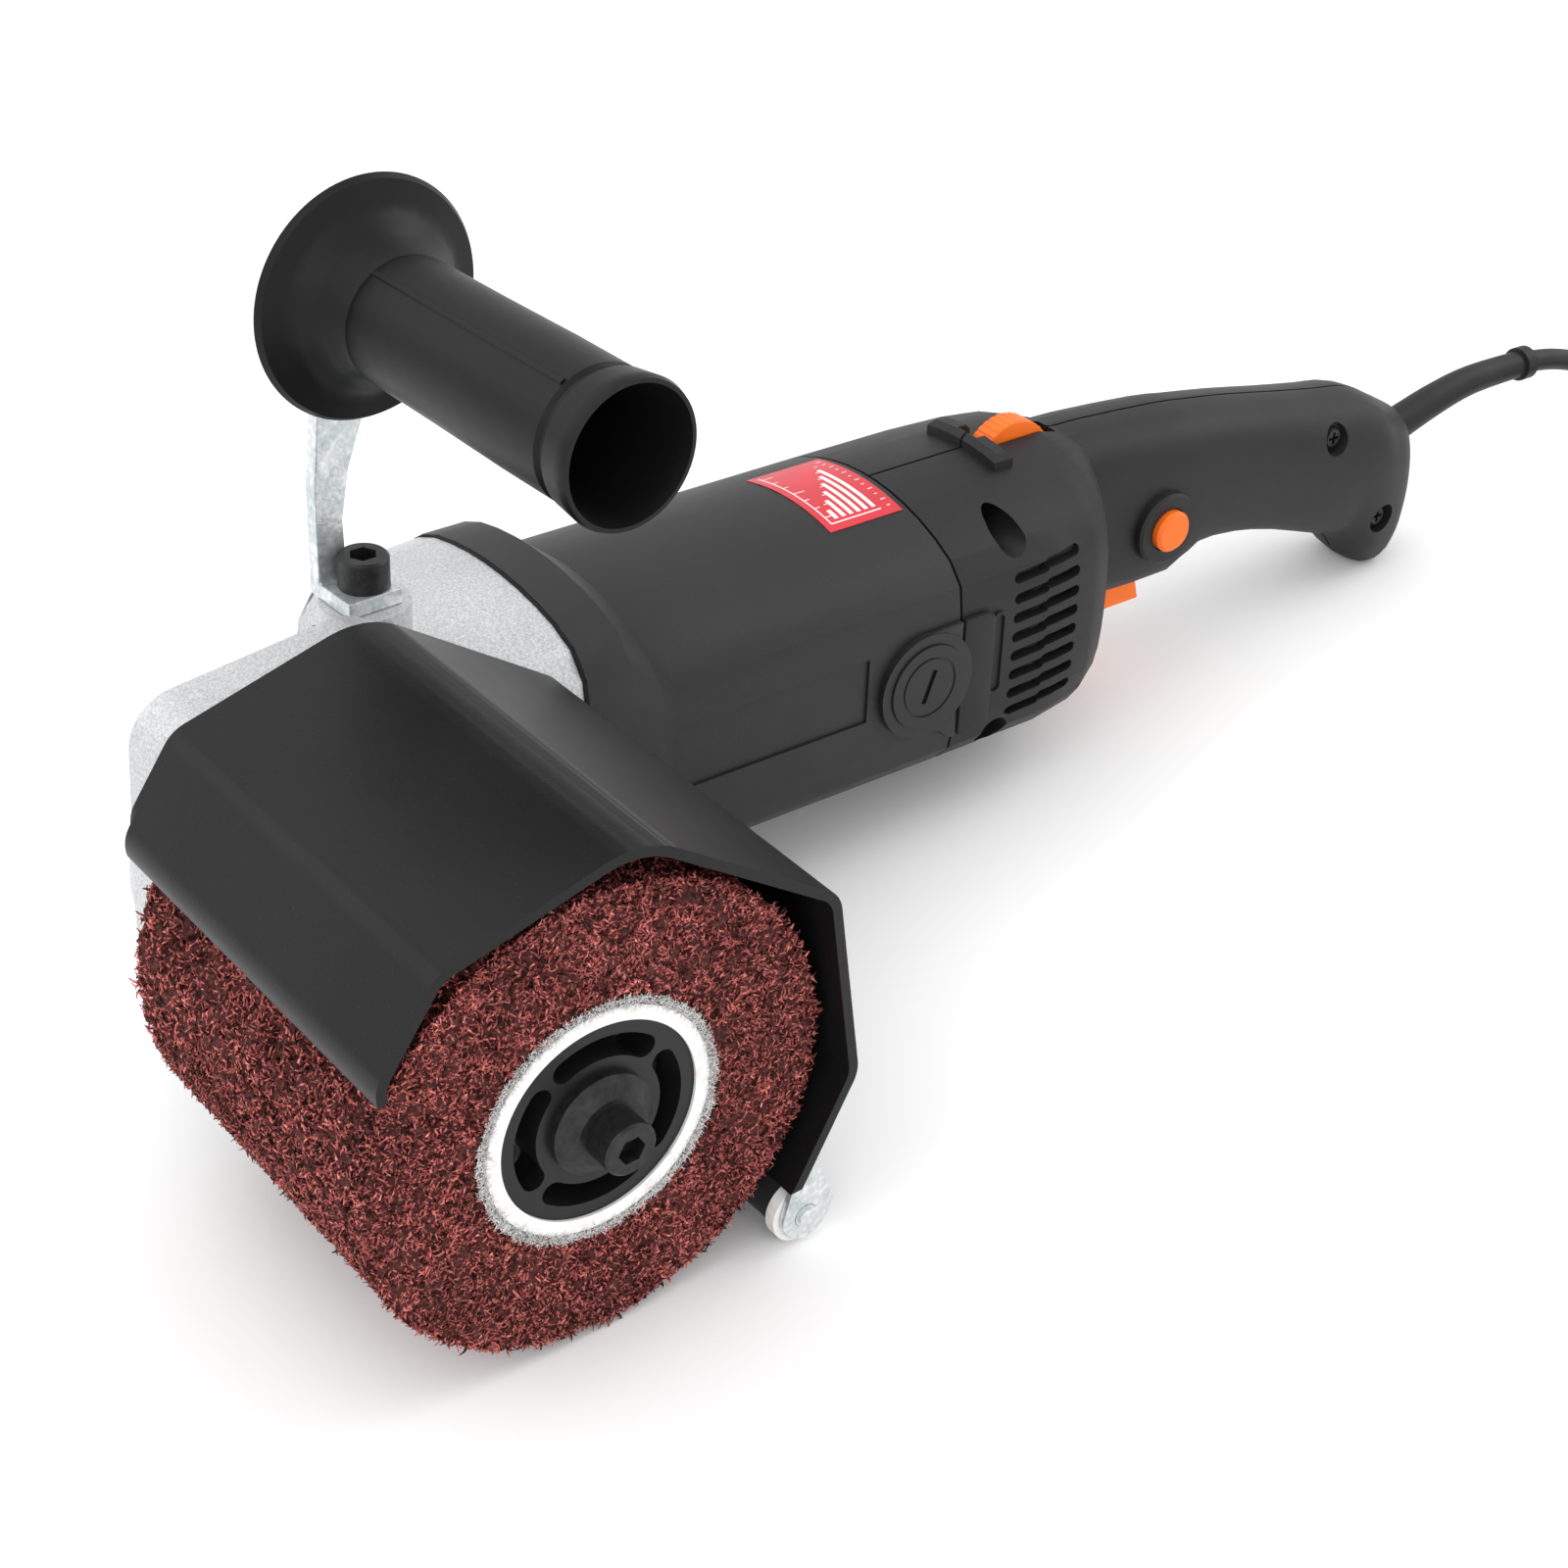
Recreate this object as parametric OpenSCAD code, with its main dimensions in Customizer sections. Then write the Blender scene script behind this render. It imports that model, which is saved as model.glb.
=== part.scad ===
// Corded drum polisher: a motor with a right-angle gear head turns a non-woven abrasive drum.
// Two frames are used. The drum frame has its origin on the drum's axis at the drum's open face,
// with +Y along the axis towards the gear head. The tool frame is the drum frame turned about the
// drum's axis, so that its +X runs along the motor towards the handle.

/* [Drum] */
// Outer diameter of the abrasive drum
drum_d = 120; // [110:1:120]
// Width of the abrasive drum
drum_w = 100; // [100:1:101]
// Outer diameter of the fibre tube that carries the abrasive
core_d = 57; // [55:1:62]
// Outer diameter of the plastic hubs inside the fibre tube
hub_d = 50; // [48:1:51]
// Diameter of the arbor that the hubs sit on
arbor_d = 19; // [18:0.5:20]

/* [Layout] */
// Angle of the motor's axis below level when the tool stands on its drum and handle heel
tool_tilt = 2.8; // [2.7:0.05:2.9]
// Distance of the motor's axis from the drum's open face
motor_y = 146; // [146:0.5:147]
// Distance of the motor flange from the drum's axis
flange_x = 67.5; // [67:0.5:68]
// Distance of the seam between motor housing and handle shells from the drum's axis
seam_x = 186; // [185:1:187]

/* [Motor housing] */
// Half width of the motor housing
housing_w = 42; // [42:0.5:43]
// Half height of the motor housing
housing_h = 40.5; // [40.5:0.5:42]
// Wall thickness of the plastic shells
wall = 3; // [2.5:0.5:3]
// Outer diameter of the stator
stator_d = 73; // [72:0.5:74]
// Outer diameter of the rotor
rotor_d = 43; // [41:0.5:43.5]

/* [Handle] */
// Half width of the handle
grip_w = 19; // [18:0.5:20]
// Diameter of the lock-on button
lock_d = 12.5; // [12:0.5:15]

/* [Guard] */
// Thickness of the guard's steel sheet
guard_t = 2.5; // [2:0.1:2.5]
// Outer radius of the guard's bends
guard_bend_r = 9; // [8:0.5:10]

/* [Side handle] */
// Length of the side handle
side_l = 100.5; // [98:0.5:103]
// Outer radius of the side handle's hand guard
side_flange_r = 29; // [27:0.5:30]
// Turn of the handle bracket about its clamp screw
bracket_turn = 2.7; // [0:0.1:6]

/* [Cord] */
// Diameter of the mains lead
cord_d = 7; // [6.5:0.5:7]

/* [Hidden] */
$fn = 48;

// Place of the drum frame in the part's frame
origin_x = 170.7;
origin_y = 89.3;
e = 0.01;

// Colours
black_plastic = "#2c2c2c";
black_steel = "#1d1d1e";
cast_alloy = "#c4c6c8";
zinc = "#cfd6d4";
orange = "#f0641c";

// Guard profile round the drum: corner points of the outer face, in the drum frame (x, z)
guard_corners = [[-55.3, 38.7], [-39.4, 60.2], [10.3, 72], [60.6, 35.8], [66.4, -16], [50.5, -43]];
// The same points with the middle corner rounded by a wide bend
guard_outline = concat([guard_corners[0], guard_corners[1]],
    wide_bend(guard_corners[1], guard_corners[2], guard_corners[3], 22, 6),
    [guard_corners[3], guard_corners[4], guard_corners[5]]);
// The same outline closed below the drum, and the open part that is cut away from its sheet
guard_loop = concat(guard_outline, [[30, -66], [-40, -30]]);
guard_mouth = [[-67.3, 32.3], [-35.3, 37.7], [-33, 8], [10, 0], [20.5, -43.5], [62.5, -42.7], [60, -90],
    [-90, -90], [-90, 20]];
guard_y0 = -5;
guard_y1 = 102;
plate_y = 104;

// Gear head
cover_y = 118;
flange_back = 121;
bearing_y = 106;
cavity_r = 36;
cavity_end = 158;
bush_y = 160;
bush_l = 11;
boss_x = 22;
boss_y = 131;
boss_z = 59;
thread_r = 4;
cone_ratio = 4;
crown_teeth = 36;
pinion_teeth = crown_teeth / cone_ratio;
crown_ro = 34;
crown_ri = 25;

// Guide roller behind the drum
roller_x = 51.8;
roller_z = -51.9;
roller_r = 8;
roller_y0 = -2.8;
ear_t = 1.7;

// Lock button, trigger and dial, in the tool frame
lock_x = 283;
lock_z = 6;
trigger_pin_x = 259;
trigger_pin_z = -9;
rib_x = 219;
dial_x = 236;
dial_z = 32;
dial_r = 13;

// Handle bracket and side handle, from the clamp screw's axis
strap_y0 = 137.2;
strap_t = 4;
foot_y0 = 124.4;
eye_x = 27.6;
eye_z = 132.5;

// ---------------------------------------------------------------- frames and helpers

module at_drum() { translate([-origin_x, -origin_y, drum_d / 2]) children(); }
module at_tool() { at_drum() rotate([0, tool_tilt, 0]) children(); }

// A cylinder along Y about the drum's axis
module ycyl(r, y0, y1) { translate([0, y0, 0]) rotate([-90, 0, 0]) cylinder(r = r, h = y1 - y0); }

// A cylinder along X about the motor's axis
module xcyl(r, x0, x1) {
    translate([x0, motor_y, 0]) rotate([0, 90, 0]) cylinder(r = r, h = x1 - x0);
}

// A 2D outline in (x, z), extruded along Y
module side_extrude(y0, y1) {
    translate([0, y1, 0]) rotate([90, 0, 0]) linear_extrude(y1 - y0) children();
}

// One ring of a loft, in a plane of constant x: flat sides, and a domed top and bottom.
// A station is [x, centre y, centre z, half width, half height, dome radius, corner sharpness].
function ring(s, m) = [for (i = [0:m - 1])
    let (a = 360 * (i + 0.5) / m, c = abs(cos(a)), v = abs(sin(a)), d = s[5] - s[4],
        side = s[3] / c, dome = sqrt(pow(s[5], 2) - pow(d * c, 2)) - d * v,
        r = pow(pow(side, -s[6]) + pow(dome, -s[6]), -1 / s[6]))
    [s[0], s[1] + r * cos(a), s[2] + r * sin(a)]];

// A closed skin over a list of rings with m points each
module skin(rings, m) {
    n = len(rings);
    points = [for (r = rings) each r];
    sides = [for (i = [0:n - 2]) for (j = [0:m - 1])
        let (a = i * m + j, b = i * m + (j + 1) % m) each [[a, a + m, b + m], [a, b + m, b]]];
    polyhedron(points, concat([[for (j = [0:m - 1]) j]], sides,
        [[for (j = [m - 1:-1:0]) (n - 1) * m + j]]), convexity = 6);
}

module loft(stations, m = 40) { skin([for (s = stations) ring(s, m)], m); }

// The same stations with the walls moved in by t
function inset(stations, t) = [for (s = stations) [s[0], s[1], s[2], s[3] - t, s[4] - t, s[5] - t, s[6]]];

function unit(v) = v / norm(v);

// Points of a bend of radius r that rounds the corner b of a clockwise outline a, b, c
function wide_bend(a, b, c, r, n) =
    let (u = unit(a - b), v = unit(c - b), half = acos(u * v) / 2, m = unit(u + v), o = b + m * r / sin(half))
    [for (i = [0:n]) let (w = (1 - 2 * i / n) * (90 - half))
        o - r * [m[0] * cos(w) - m[1] * sin(w), m[0] * sin(w) + m[1] * cos(w)]];

// A round tube swept along points: ring planes face along the path
function tube_rings(path, radii, m) = [for (i = [0:len(path) - 1])
    let (a = path[max(i - 1, 0)], b = path[min(i + 1, len(path) - 1)], t = unit(b - a),
        u = unit(cross([0, 0, 1], t)), v = cross(t, u))
    [for (j = [0:m - 1]) path[i] + radii[i] * (cos(360 * j / m) * u + sin(360 * j / m) * v)]];

// Points on a smooth curve through the route points, k of them for each stretch
function between(p, i, t) =
    let (a = p[max(i - 1, 0)], b = p[i], c = p[i + 1], d = p[min(i + 2, len(p) - 1)])
    0.5 * (2 * b + (c - a) * t + (2 * a - 5 * b + 4 * c - d) * t * t
        + (3 * b - a - 3 * c + d) * t * t * t);
function smooth(p, k) = concat([for (i = [0:len(p) - 2]) for (s = [0:k - 1]) between(p, i, s / k)],
    [p[len(p) - 1]]);

// A ring with a raceway groove on one side, along Z, centred on z = 0
module race(r0, r1, w, groove_r, ball_r) {
    rotate_extrude() difference() {
        translate([r0, -w / 2]) square([r1 - r0, w]);
        translate([groove_r, 0]) circle(r = ball_r, $fn = 32);
    }
}

module outer_race(bore, od, w, ball_r) {
    mid = (bore + od) / 4;
    race(mid + ball_r * 0.45, od / 2, w, mid, ball_r + 0.05);
}

module inner_race(bore, od, w, ball_r, balls) {
    mid = (bore + od) / 4;
    race(bore / 2, mid - ball_r * 0.45, w, mid, ball_r + 0.05);
    for (i = [0:balls - 1]) rotate(360 * i / balls) translate([mid, 0, 0]) sphere(r = ball_r, $fn = 24);
}

// A socket-head cap screw along -Z: head from z = 0 up, shank from z = 0 down
module socket_screw(head_r, head_h, shank_r, shank_l, hex_af) {
    difference() {
        union() {
            cylinder(r = head_r, h = head_h - 0.6);
            translate([0, 0, head_h - 0.6 - e]) cylinder(r1 = head_r, r2 = head_r - 0.6, h = 0.6);
            translate([0, 0, -shank_l]) cylinder(r = shank_r, h = shank_l + e);
        }
        translate([0, 0, head_h / 2]) cylinder(r = hex_af / sqrt(3), h = head_h, $fn = 6);
    }
}

// A cross-head screw with a domed head, along -Z
module pan_screw(head_r, head_h, shank_r, shank_l) {
    difference() {
        union() {
            cylinder(r1 = head_r, r2 = head_r * 0.8, h = head_h);
            translate([0, 0, -shank_l]) cylinder(r = shank_r, h = shank_l + e);
        }
        for (a = [0, 90]) rotate(a) translate([-head_r * 0.6, -0.5, head_h * 0.4])
            cube([head_r * 1.2, 1, head_h]);
    }
}

// ---------------------------------------------------------------- drum and spindle

module abrasive_drum() {
    color("#7d3a34") at_drum() difference() {
        ycyl(drum_d / 2, 0, drum_w, $fn = 96);
        ycyl(core_d / 2, -1, drum_w + 1, $fn = 96);
    }
}

module core_tube() {
    color("white") at_drum() difference() {
        ycyl(core_d / 2, -0.2, drum_w, $fn = 96);
        ycyl(hub_d / 2, -1, drum_w + 1, $fn = 96);
    }
}

// One kidney slot of a hub: an arc slot in the (x, z) plane
module kidney(r, half_w, half_angle) {
    difference() {
        circle(r = r + half_w);
        circle(r = r - half_w);
        for (s = [0, 1]) mirror([0, s]) rotate(half_angle) translate([-60, 0]) square([120, 60]);
        translate([-60, -30]) square(60);
    }
    for (s = [-1, 1]) rotate(s * half_angle) translate([r, 0]) circle(r = half_w - 0.01);
}

slot_turn = 8;
module hub(y_face, y_web, y_in) {
    lo = min(y_face, y_web);
    hi = max(y_face, y_web);
    difference() {
        union() {
            ycyl(hub_d / 2 - 0.02, lo, hi);
            ycyl(14, min(y_face, y_in), max(y_face, y_in));
        }
        ycyl(arbor_d / 2 + 0.02, -10, drum_w + 10);
        side_extrude(lo - 1, hi + 1) for (a = [0:90:270]) rotate(a - slot_turn) kidney(18.7, 2.8, 33);
        key_slots();
    }
}

// Slots for the arbor's two keys
module key_slots() {
    for (s = [-1, 1]) translate([s * arbor_d / 2 - 2.6, -10, -2.55]) cube([5.2, drum_w + 20, 5.1]);
}

module hub_near() { color(black_plastic) at_drum() hub(0.5, 10, 30); }
module hub_far() { color(black_plastic) at_drum() hub(drum_w, drum_w - 10, drum_w - 30); }

module drum_keys() {
    color(zinc) at_drum() for (s = [-1, 1])
        translate([s * (arbor_d / 2 + 0.1) - 2.5, 6, -2.5]) cube([5, drum_w - 12, 5]);
}

module drum_washer() {
    color(black_steel) at_drum() difference() {
        union() {
            ycyl(12.6, -1.5, 0.5);
            translate([0, -4.5, 0]) rotate([-90, 0, 0]) cylinder(r1 = 8.5, r2 = 12.6, h = 3);
        }
        ycyl(thread_r + 0.1, -10, 2);
    }
}

module drum_bolt() {
    color(black_steel) at_drum() translate([0, -4.5, 0]) rotate([90, 0, 0])
        socket_screw(6.5, 7.5, thread_r, 26, 6);
}

module spindle() {
    color(zinc) at_drum() difference() {
        union() {
            ycyl(arbor_d / 2, 0.5, drum_w + e);
            ycyl(15, drum_w, 103.4);
            ycyl(9.5, 103, bearing_y);
            ycyl(7.5, bearing_y - e, cover_y);
            ycyl(7, cover_y - e, 134);
            ycyl(5, 134 - e, bush_y + bush_l - 1);
        }
        ycyl(thread_r, -1, 26);
        for (s = [-1, 1]) translate([s * (arbor_d / 2 + 0.1) - 2.5, 5.95, -2.5])
            cube([5, drum_w - 11.9, 5]);
    }
}

// Bevel gears: their pitch cones meet where the two axes cross
module crown_wheel() {
    m = crown_teeth * 4;
    back = motor_y - 18.5;
    depth = 1.35;
    // Height of the toothed face at radius r, for quarter k of the tooth pitch
    function face_y(r, k) = motor_y - r / cone_ratio - (k % 4 < 2 ? 2.2 : 0.35) * r / crown_ro * depth;
    function rim(r, y) = [for (k = [0:m - 1]) let (a = 360 * (k - 0.5) / m) [r * cos(a), y, r * sin(a)]];
    function top(r) = [for (k = [0:m - 1]) let (a = 360 * (k - 0.5) / m)
        [r * cos(a), face_y(r, k), r * sin(a)]];
    loops = [rim(crown_ro, back), top(crown_ro), top(crown_ri), rim(crown_ri, back)];
    points = [for (l = loops) each l];
    faces = [for (i = [0:3]) for (j = [0:m - 1])
        let (a = i * m + j, b = i * m + (j + 1) % m, c = ((i + 1) % 4) * m + (j + 1) % m,
            d = ((i + 1) % 4) * m + j) each [[a, b, c], [a, c, d]]];
    color(zinc) at_tool() {
        polyhedron(points, faces, convexity = 8);
        difference() {
            union() {
                ycyl(crown_ri + 0.5, back, back + 4.5);
                ycyl(11, cover_y, back + 4.5);
            }
            ycyl(7, 110, 160);
        }
    }
}

module pinion() {
    tip = crown_ro / cone_ratio + 1;
    root = crown_ro / cone_ratio - 1.6;
    step = 360 / pinion_teeth;
    tooth = [[-0.34, root], [-0.17, tip], [0.17, tip], [0.34, root]];
    outline = [for (i = [0:pinion_teeth - 1]) for (q = tooth)
        let (a = i * step + q[0] * step) q[1] * [cos(a), sin(a)]];
    length = crown_ro - crown_ri;
    color(zinc) at_tool() translate([crown_ro, motor_y, 0]) difference() {
        union() {
            rotate([0, -90, 0]) rotate(90 + step / 2)
                linear_extrude(length, scale = crown_ri / crown_ro) polygon(outline);
            translate([-1, 0, 0]) rotate([0, 90, 0]) cylinder(r = root - 0.6, h = 13);
        }
        rotate([0, -90, 0]) translate([0, 0, -14]) cylinder(r = 4, h = 30);
    }
}

module spindle_bearing_outer() {
    color(zinc) at_drum() translate([0, 111.5, 0]) rotate([90, 0, 0]) outer_race(15, 35, 11, 3);
}
module spindle_bearing_inner() {
    color(zinc) at_drum() translate([0, 111.5, 0]) rotate([90, 0, 0]) inner_race(15, 35, 11, 3, 8);
}
module spindle_rear_bush() {
    color("#b08d57") at_drum() difference() {
        ycyl(8, bush_y, bush_y + bush_l);
        ycyl(5.05, bush_y - 1, bush_y + bush_l + 1);
    }
}

// ---------------------------------------------------------------- motor

module motor_shaft() {
    color(zinc) at_tool() {
        xcyl(4, 21, 46 + e);
        xcyl(5, 46, 190 + e);
        xcyl(4, 190, 203);
    }
}

module x_bearing(x) { color(zinc) at_tool() translate([x, motor_y, 0]) rotate([0, 90, 0]) children(); }
module front_bearing_outer() { x_bearing(58.5) outer_race(10, 30, 9, 2.4); }
module front_bearing_inner() { x_bearing(58.5) inner_race(10, 30, 9, 2.4, 8); }
module rear_bearing_outer() { x_bearing(198) outer_race(8, 22, 7, 1.9); }
module rear_bearing_inner() { x_bearing(198) inner_race(8, 22, 7, 1.9, 7); }

// The lamination stacks of rotor and stator run from stack_x0 to stack_x1
stack_x0 = 100;
stack_x1 = 142;
rotor_slots = 12;
module rotor_core() {
    color("#8b8d90") at_tool() difference() {
        xcyl(rotor_d / 2, stack_x0, stack_x1);
        xcyl(5, stack_x0 - 1, stack_x1 + 1);
        translate([stack_x0 - 1, motor_y, 0]) rotate([0, 90, 0]) for (i = [0:rotor_slots - 1])
            rotate(360 * i / rotor_slots) translate([rotor_d / 2 - 10, -1.4, 0]) cube([12, 2.8, 60]);
    }
}

module winding_head(x0, x1, r0, r1) {
    difference() {
        xcyl(r1, x0, x1);
        xcyl(r0, x0 - 1, x1 + 1);
    }
}
module rotor_windings() {
    color("#a8602c") at_tool() {
        winding_head(stack_x0 - 10, stack_x0, 7, 18);
        winding_head(stack_x1, stack_x1 + 10, 7, 18);
    }
}

commutator_bars = 24;
module commutator() {
    color("#b87333") at_tool() difference() {
        xcyl(14, 164, 184);
        xcyl(5, 163, 185);
        translate([161, motor_y, 0]) rotate([0, 90, 0]) for (i = [0:commutator_bars - 1])
            rotate(360 * (i + 0.5) / commutator_bars) translate([12.8, -0.25, 0]) cube([3, 0.5, 30]);
    }
}

fan_blades = 13;
module cooling_fan() {
    color("#33363a") at_tool() {
        difference() {
            union() {
                xcyl(34, 72, 74);
                xcyl(11, 72, 84);
            }
            xcyl(5, 70, 90);
        }
        translate([74 - e, motor_y, 0]) rotate([0, 90, 0]) for (i = [0:fan_blades - 1])
            rotate(360 * i / fan_blades) translate([17, -0.8, 0]) rotate(24) cube([16, 1.6, 9]);
    }
}

module stator_core() {
    color("#8b8d90") at_tool() difference() {
        xcyl(stator_d / 2, stack_x0, stack_x1);
        xcyl(22.5, stack_x0 - 1, stack_x1 + 1);
        for (s = [-1, 1]) translate([stack_x0 - 1, motor_y + s * 22 - 6, -21]) cube([60, 12, 42]);
    }
}
module stator_windings() {
    color("#a8602c") at_tool() for (s = [-1, 1]) difference() {
        translate([stack_x0 - 8, motor_y + s * 24.5 - 3.4, -20.9])
            cube([stack_x1 - stack_x0 + 16, 6.8, 41.8]);
        translate([stack_x0, motor_y + s * 24.5 - 4, -12]) cube([stack_x1 - stack_x0, 8, 24]);
        xcyl(22.5, 80, 170);
    }
}

module air_baffle() {
    color(black_plastic) at_tool() difference() {
        xcyl(stator_d / 2, 85.5, 87.5);
        xcyl(24, 80, 90);
    }
}

brush_x = 174.5;
module brush_axis(s) {
    translate([brush_x, motor_y, 0]) rotate([-90 * s, 0, 0]) children();
}
module carbon_brushes() {
    color("#3a3a3c") at_tool() for (s = [-1, 1]) brush_axis(s)
        translate([-3.2, -4.7, 14.2]) cube([6.4, 9.4, 14]);
}
module brush_holders() {
    color("#b08d57") at_tool() for (s = [-1, 1]) brush_axis(s) difference() {
        translate([-5, -6.5, 17]) cube([10, 13, 24]);
        translate([-3.2, -4.7, 14]) cube([6.4, 9.4, 28]);
    }
}
module brush_caps() {
    color(black_plastic) at_tool() for (s = [-1, 1]) brush_axis(s) difference() {
        union() {
            translate([0, 0, 41]) cylinder(r = 8, h = 2);
            translate([0, 0, 43]) cylinder(r = 12.3, h = 1.6);
        }
        rotate(70) translate([-5, -0.8, 43.6]) cube([10, 1.6, 3]);
        translate([0, 0, 44.2]) difference() {
            cylinder(r = 9, h = 1);
            translate([0, 0, -1]) cylinder(r = 8.3, h = 3);
        }
    }
}

// ---------------------------------------------------------------- gear head

cover_outline = [[-32, 45], [8, 50], [26, 40], [30, 0], [22, -30], [0, -34], [-22, -28], [-34, 0]];
module cover_shape() { offset(r = 13, $fn = 64) polygon(cover_outline); }

cover_screw_spots = [[-36, 38], [32, 32], [28, -28], [-30, -26]];
module at_cover_screws() {
    for (p = cover_screw_spots) translate([p[0], 0, p[1]]) children();
}

module gear_case_cover() {
    color(cast_alloy) at_tool() difference() {
        union() {
            side_extrude(plate_y, cover_y) cover_shape();
            ycyl(cavity_r - 0.1, cover_y - e, 121);
        }
        ycyl(17.5, bearing_y, bearing_y + 11);
        ycyl(15.6, 100, bearing_y + 1);
        ycyl(14, 116, 130);
        at_cover_screws() ycyl(2.6, 90, 130);
    }
}

// Outside of the case, turned about the drum's axis: points (radius, y)
dome_profile = [[0, cover_y], [44.5, cover_y], [44.5, 124], [41, 136], [36, 146], [30, 157], [24, 166],
    [20, 172], [17, 174], [0, 174]];
neck_stations = [[30, motor_y, 0, 36, 40, 90, 8], [38, motor_y, 0, 41, 46, 111, 9],
    [flange_x, motor_y, 0, 42.5, 47.5, 111, 9]];
module gear_case() {
    color(cast_alloy) at_tool() difference() {
        union() {
            rotate([-90, 0, 0]) rotate_extrude($fn = 72) polygon(dome_profile);
            side_extrude(cover_y, flange_back) cover_shape();
            loft(neck_stations);
            translate([boss_x, boss_y, 30]) cylinder(r = 11, h = boss_z - 30);
            translate([boss_x, boss_y, -50]) cylinder(r = 10, h = 20);
        }
        rotate([-90, 0, 0]) rotate_extrude() polygon([[0, cover_y - 1], [cavity_r, cover_y - 1],
            [cavity_r, 140], [26, cavity_end], [0, cavity_end]]);
        ycyl(8, cavity_end - 1, bush_y + bush_l);
        xcyl(12, 0, 55);
        xcyl(15, 54, 63);
        xcyl(12, 62, 66);
        side_extrude(90, cover_y) offset(delta = 0.05) cover_shape();
        translate([-100, 80, -100]) cube([200, plate_y + 0.1 - 80, 200]);
        difference() {
            loft(inset(neck_stations, 4.5));
            xcyl(19, 30, 64);
            ycyl(cavity_r + 4, 90, 142);
            translate([35, motor_y - 50, -50]) cube([6, 100, 100]);
            at_housing_screws() translate([0, 0, -40]) cylinder(r = 6.5, h = 45);
        }
        translate([flange_x - 3, motor_y, 0]) rotate([0, 90, 0]) cylinder(r = 36, h = 5);
        translate([boss_x, boss_y, boss_z - 16]) cylinder(r = thread_r, h = 20);
        translate([boss_x, boss_y, -51]) cylinder(r = thread_r, h = 10);
        at_cover_screws() ycyl(2.1, 100, 127);
        at_housing_screws() {
            translate([0, 0, -12]) cylinder(r = 2.1, h = 14);
            translate([0, 0, -40]) cylinder(r = 3.8, h = 30.5);
        }
    }
}

module cover_screws() {
    color(zinc) at_tool() at_cover_screws() translate([0, guard_y1, 0]) rotate([90, 0, 0])
        pan_screw(4, 1.4, 2.1, 22);
}

// Four screws join the motor housing to the gear case
module at_housing_screws() {
    for (s = [-1, 1]) for (t = [-1, 1])
        translate([flange_x, motor_y + s * 33, t * 34]) rotate([0, 90, 0]) children();
}
module housing_screws() {
    color(zinc) at_tool() at_housing_screws() translate([0, 0, -9.5]) rotate([180, 0, 0])
        pan_screw(3.6, 2.6, 2.1, 20);
}

// ---------------------------------------------------------------- motor housing

// Stations along the tool: the round-cornered flange, the step down, then the body
dome_r = 70;
housing_stations = [
    [flange_x, motor_y, 0, 43, 48, 111, 9], [80.5, motor_y, 0, 43, 48, 111, 9],
    [90, motor_y, 0, housing_w, housing_h, dome_r, 14], [94, motor_y, 0, housing_w, housing_h, dome_r, 18],
    [seam_x, motor_y, 0, housing_w, housing_h, dome_r, 18]];

brush_boss_r = 15.4;
module motor_housing() {
    color(black_plastic) at_tool() difference() {
        union() {
            loft(housing_stations);
            for (s = [-1, 1]) brush_axis(s) translate([0, 0, 38]) cylinder(r = brush_boss_r, h = 6);
        }
        xcyl(36, 60, 70);
        xcyl(stator_d / 2, 69, 152);
        loft(inset([body_at(148), body_at(seam_x + 1)], wall));
        for (s = [-1, 1]) brush_axis(s) {
            translate([0, 0, 41]) cylinder(r = 8.05, h = 12);
            translate([0, 0, 43]) cylinder(r = 12.4, h = 12);
            translate([-5.02, -6.52, 16]) cube([10.04, 13.04, 30]);
        }
        at_housing_screws() translate([0, 0, -1]) cylinder(r = 2.1, h = 12);
        for (s = [-1, 1]) translate([94, motor_y + s * (housing_w + 0.2) - 1, -6]) cube([61.5, 2, 19]);
    }
    rear_bridge();
}

// Cross section of the housing at x
function body_at(x) = [x, motor_y, 0, housing_w, housing_h, dome_r, 18];

// The rear bearing's bridge, and the spigot that the handle shells close on
module rear_bridge() {
    color(black_plastic) at_tool() difference() {
        union() {
            xcyl(14, 192, 204);
            for (a = [68, 112, 248, 292]) translate([178, motor_y, 0]) rotate([a, 0, 0]) {
                translate([0, -3, 27]) cube([8, 6, 16.8]);
                translate([7, -3, 13]) cube([19, 6, 26]);
            }
        }
        xcyl(11, 194.5, 201.5);
        xcyl(8, 190, 210);
    }
    color(black_plastic) at_tool() difference() {
        loft(concat(inset([body_at(seam_x - 6), body_at(seam_x - 0.2)], wall - 0.3),
            inset([body_at(seam_x), body_at(seam_x + 5)], wall + 0.1)));
        loft(inset([body_at(seam_x - 7), body_at(seam_x + 6)], wall + 1.5));
    }
}

// ---------------------------------------------------------------- handle

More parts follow.
